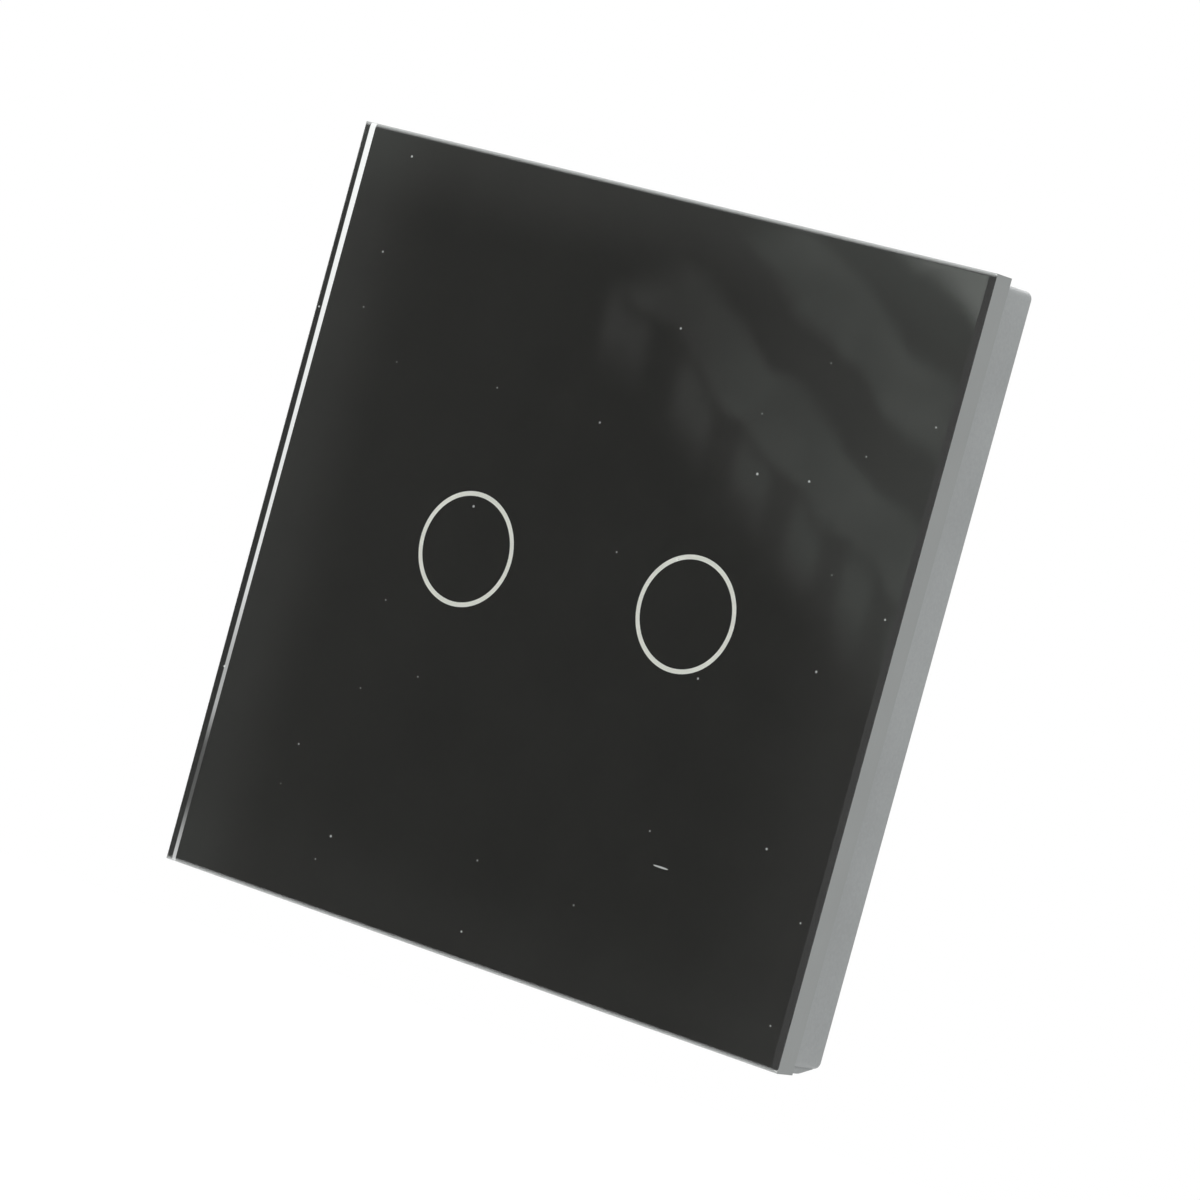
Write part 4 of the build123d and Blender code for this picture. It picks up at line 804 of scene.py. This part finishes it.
def stand(made, low, high):
    """Stands a sheet upright between two corners, facing Y."""
    for vertex in made.data.vertices:
        side, rise = vertex.co.x > 0, vertex.co.y > 0
        vertex.co = ((low, high)[side][0], low[1], (low, high)[rise][2])


def show_to_gloss(made):
    """Hides a stage item from every ray but those that a glossy surface mirrors."""
    for kind in ("camera", "diffuse", "glossy", "transmission", "volume_scatter", "shadow"):
        setattr(made, "visible_" + kind, kind == "glossy")


def eye_rays(tree):
    """1 for what the camera sees, straight, mirrored or through glass, and 0 for light on matt faces."""
    rays = add(tree, "LightPath").outputs
    direct = add(tree, "Math", {0: rays["Is Camera Ray"], 1: rays["Is Glossy Ray"]}, operation="ADD")
    return add(tree, "Math", {0: direct, 1: rays["Is Transmission Ray"]},
               operation="ADD", use_clamp=True)


def floor_paint():
    """Pale matt paint that reads white to the eye and still takes the shadow."""
    made, tree, place = start("floor_paint")
    eye_glow = 0.6
    level = add(tree, "Math", {0: eye_rays(tree), 1: eye_glow}, operation="MULTIPLY")
    paint = add(tree, "BsdfDiffuse", {0: linear("#E6E6E6")})
    glow = add(tree, "Emission", {0: (1, 1, 1, 1), 1: level})
    both = add(tree, "AddShader", {0: paint, 1: glow})
    add(tree, "OutputMaterial", {0: both})
    return made


def room_card(low, high):
    """What the glass mirrors at the camera's angle: a dim room, with pale slats at its top right."""
    made, tree, place = start("room_card")
    x, y, z = add(tree, "SeparateXYZ", {0: place}).outputs
    # Across and up the mirrored face, from 0 to 1
    u = add(tree, "MapRange", {"Value": x, "From Min": low[0], "From Max": high[0]}, clamp=False)
    v = add(tree, "MapRange", {"Value": z, "From Min": low[1], "From Max": high[1]}, clamp=False)
    # The slats fall to the right, a little unevenly: slant is the same all along a slat's edge
    fall, uneven = 0.578, 0.07
    flaw = add(tree, "TexNoise", {"Vector": place, "Scale": per(22.0), "Detail": 2.0})
    slant = add(tree, "Math", {0: u, 1: fall, 2: v}, operation="MULTIPLY_ADD")
    slant = add(tree, "Math", {0: flaw, 1: uneven, 2: slant}, operation="MULTIPLY_ADD")
    slant = add(tree, "Math", {0: slant, 1: uneven / 2}, operation="SUBTRACT")
    # They begin behind a line that leans the other way
    lean = add(tree, "Math", {0: v, 1: -1.76, 2: u}, operation="MULTIPLY_ADD")
    # The slats stand 0.175 of the face apart, one with its middle at 1.2
    turn, pitch, middle = 2 * math.pi, 0.175, 1.2
    wave = add(tree, "Math", {0: slant, 1: turn / pitch, 2: -middle * turn / pitch},
               operation="MULTIPLY_ADD")
    rows = add(tree, "Math", {0: wave}, operation="COSINE")
    # Round patches hang under the first slat, and come closer together towards the right
    first_patch, rate, gain = 0.493, 6.94, 5.3
    along = add(tree, "Math", {0: u, 1: first_patch}, operation="SUBTRACT")
    pace = add(tree, "Math", {0: along, 1: gain * turn, 2: rate * turn}, operation="MULTIPLY_ADD")
    count = add(tree, "Math", {0: along, 1: pace}, operation="MULTIPLY")
    lobes = add(tree, "Math", {0: count}, operation="COSINE")

    # Each shape is a product of soft steps: a value, where it starts and ends, and the level at both
    shapes = (
        # The dim room, paler towards the left, the right, the top and the bottom
        ((u, 0.16, 0.0, 0.33, 0.62),),
        ((u, 0.45, 0.05, 0.0, 0.04),),
        ((u, 0.8, 1.0, 0.0, 0.17),),
        ((v, 0.88, 1.02, 0.0, 0.36),),
        ((v, 0.14, 0.0, 0.0, 0.11),),
        # The haze between the slats, and the bright corner past the last one
        ((u, 0.5, 0.85, 0.0, 0.3), (slant, 1.0, 1.12, 0.0, 1.0)),
        ((slant, 1.48, 1.535, 0.0, 1.1),),
        # The slats
        ((rows, -0.6, 0.5, 0.0, 1.0), (lean, -1.12, -1.0, 0.0, 1.0), (slant, 1.13, 1.16, 0.0, 1.0),
         (u, 0.5, 0.9, 0.26, 0.37), (flaw, 0.3, 0.7, 0.7, 1.25)),
        # The patches
        ((lobes, -1.0, 0.7, 0.0, 0.27), (u, 0.42, 0.47, 0.0, 1.0), (slant, 1.03, 1.11, 0.0, 1.0),
         (slant, 1.12, 1.17, 1.0, 0.0)))
    level = 0.0
    for steps in shapes:
        shape = 1.0
        for value, start_at, end_at, first, last in steps:
            step = add(tree, "MapRange",
                       {"Value": value, "From Min": start_at, "From Max": end_at,
                        "To Min": first, "To Max": last}, interpolation_type="SMOOTHSTEP")
            shape = add(tree, "Math", {0: shape, 1: step}, operation="MULTIPLY")
        level = add(tree, "Math", {0: level, 1: shape}, operation="ADD")
    # Its pale parts are a little green
    green = add(tree, "MapRange", {"Value": level, "From Min": 0.5, "From Max": 0.9})
    tint = add(tree, "Mix", {0: green, COLOUR_A: linear("#FEFEFA"), COLOUR_B: linear("#F8FEF8")},
               data_type="RGBA")
    glow = add(tree, "Emission", {0: tint, 1: level})
    add(tree, "OutputMaterial", {0: glow})
    return made


class SWITCH_OT_stage(bpy.types.Operator):
    """Set up the floor, the light, the reflection card and the camera."""

    bl_idname = "switch.stage"
    bl_label = "Stage"

    def execute(self, context):
        scene = context.scene
        s = scene.switch_stage
        scene.view_settings.view_transform = "Standard"

        # The room: white to the eye and in gloss and glass, plain on matt surfaces
        room = bpy.data.worlds.new("white_room")
        scene.world = room
        room.use_nodes = True
        tree = room.node_tree
        tree.nodes.clear()
        level = add(tree, "MapRange", {"Value": eye_rays(tree), "To Min": s.room, "To Max": 1.0})
        sky = add(tree, "Background", {0: (1, 1, 1, 1), 1: level})
        add(tree, "OutputWorld", {0: sky})

        floor = sheet("floor", 8.0, floor_paint())
        floor.location = (0, 0, s.floor)

        # Lamps: place and side in metres, the level that each adds to a facing surface, and whether
        # gloss mirrors it
        for name, place, side, add_level, mirrored in (
                ("key_lamp", (1.2, -1.0, 1.2), 1.0, 0.50, True),
                ("fill_lamp", (-1.5, -1.1, 0.6), 1.2, 0.45, False),
                ("back_lamp", (-0.5, 1.7, 0.9), 1.2, 0.30, True)):
            lamp = bpy.data.lights.new(name, "AREA")
            lamp.shape = "SQUARE"
            lamp.size = side
            # A square lamp of this power gives that level at its distance
            lamp.energy = add_level * math.pi ** 2 * Vector(place).length_squared
            holder = bpy.data.objects.new(name, lamp)
            holder.location = place
            holder.rotation_mode = "QUATERNION"
            holder.rotation_quaternion = Vector(place).to_track_quat("Z", "Y")
            holder.visible_glossy = mirrored
            holder.visible_camera = False
            scene.collection.objects.link(holder)

        # The camera stands off from a point on the face
        aim = Vector((5.03, -8.8, -1.01)) * MM
        back = Vector((math.sin(s.azimuth) * math.cos(s.elevation),
                       -math.cos(s.azimuth) * math.cos(s.elevation), math.sin(s.elevation)))
        eye = aim + back * s.distance
        camera = bpy.data.objects.new("camera", bpy.data.cameras.new("camera"))
        scene.collection.objects.link(camera)
        camera.data.lens = s.lens
        camera.data.sensor_width = 36
        camera.data.clip_start = 10 * MM
        camera.data.clip_end = 20
        camera.location = eye
        camera.rotation_mode = "QUATERNION"
        camera.rotation_quaternion = (-back).to_track_quat("-Z", "Y") @ Quaternion((0, 0, 1), s.roll)
        scene.camera = camera

        # The card fills what the face mirrors, and a margin round it
        low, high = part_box("glass_panel")
        card_y, margin = -600 * MM, 40 * MM
        mirrored_y = 2 * low.y - eye.y
        stretch = (mirrored_y - card_y) / (mirrored_y - low.y)
        corners = [(eye.x + stretch * (x - eye.x), eye.z + stretch * (z - eye.z))
                   for x, z in ((low.x, low.z), (high.x, high.z))]
        (x0, z0), (x1, z1) = corners
        card = sheet("room_card", 1.0, room_card(*corners))
        stand(card, (x0 - margin, card_y, z0 - margin), (x1 + margin, card_y, z1 + margin))
        show_to_gloss(card)
        return {"FINISHED"}


# Part 5: the panel in the sidebar, and the run


PIECES = (SWITCH_OT_glass, SWITCH_OT_print, SWITCH_OT_frame, SWITCH_OT_strap, SWITCH_OT_cover,
          SWITCH_OT_housing, SWITCH_OT_touch_board, SWITCH_OT_relays, SWITCH_OT_supply,
          SWITCH_OT_terminals, SWITCH_OT_stage)


class SWITCH_PT_pieces(bpy.types.Panel):
    """Lists the steps of the switch."""

    bl_idname = "SWITCH_PT_pieces"
    bl_label = "Touch light switch"
    bl_space_type = "VIEW_3D"
    bl_region_type = "UI"
    bl_category = "Touch switch"

    def draw(self, context):
        for piece in PIECES:
            self.layout.operator(piece.bl_idname)


SETTINGS = {"switch_panel": PanelSettings, "switch_module": ModuleSettings,
            "switch_stage": StageSettings}


def register():
    for group in SETTINGS.values():
        bpy.utils.register_class(group)
    for name, group in SETTINGS.items():
        setattr(bpy.types.Scene, name, PointerProperty(type=group))
    for piece in PIECES:
        bpy.utils.register_class(piece)
    bpy.utils.register_class(SWITCH_PT_pieces)


def unregister():
    bpy.utils.unregister_class(SWITCH_PT_pieces)
    for piece in reversed(PIECES):
        bpy.utils.unregister_class(piece)
    for name, group in SETTINGS.items():
        delattr(bpy.types.Scene, name)
        bpy.utils.unregister_class(group)


def main():
    """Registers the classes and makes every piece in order."""
    register()
    for piece in PIECES:
        group, step = piece.bl_idname.split(".")
        getattr(getattr(bpy.ops, group), step)()


if __name__ == "__main__":
    main()
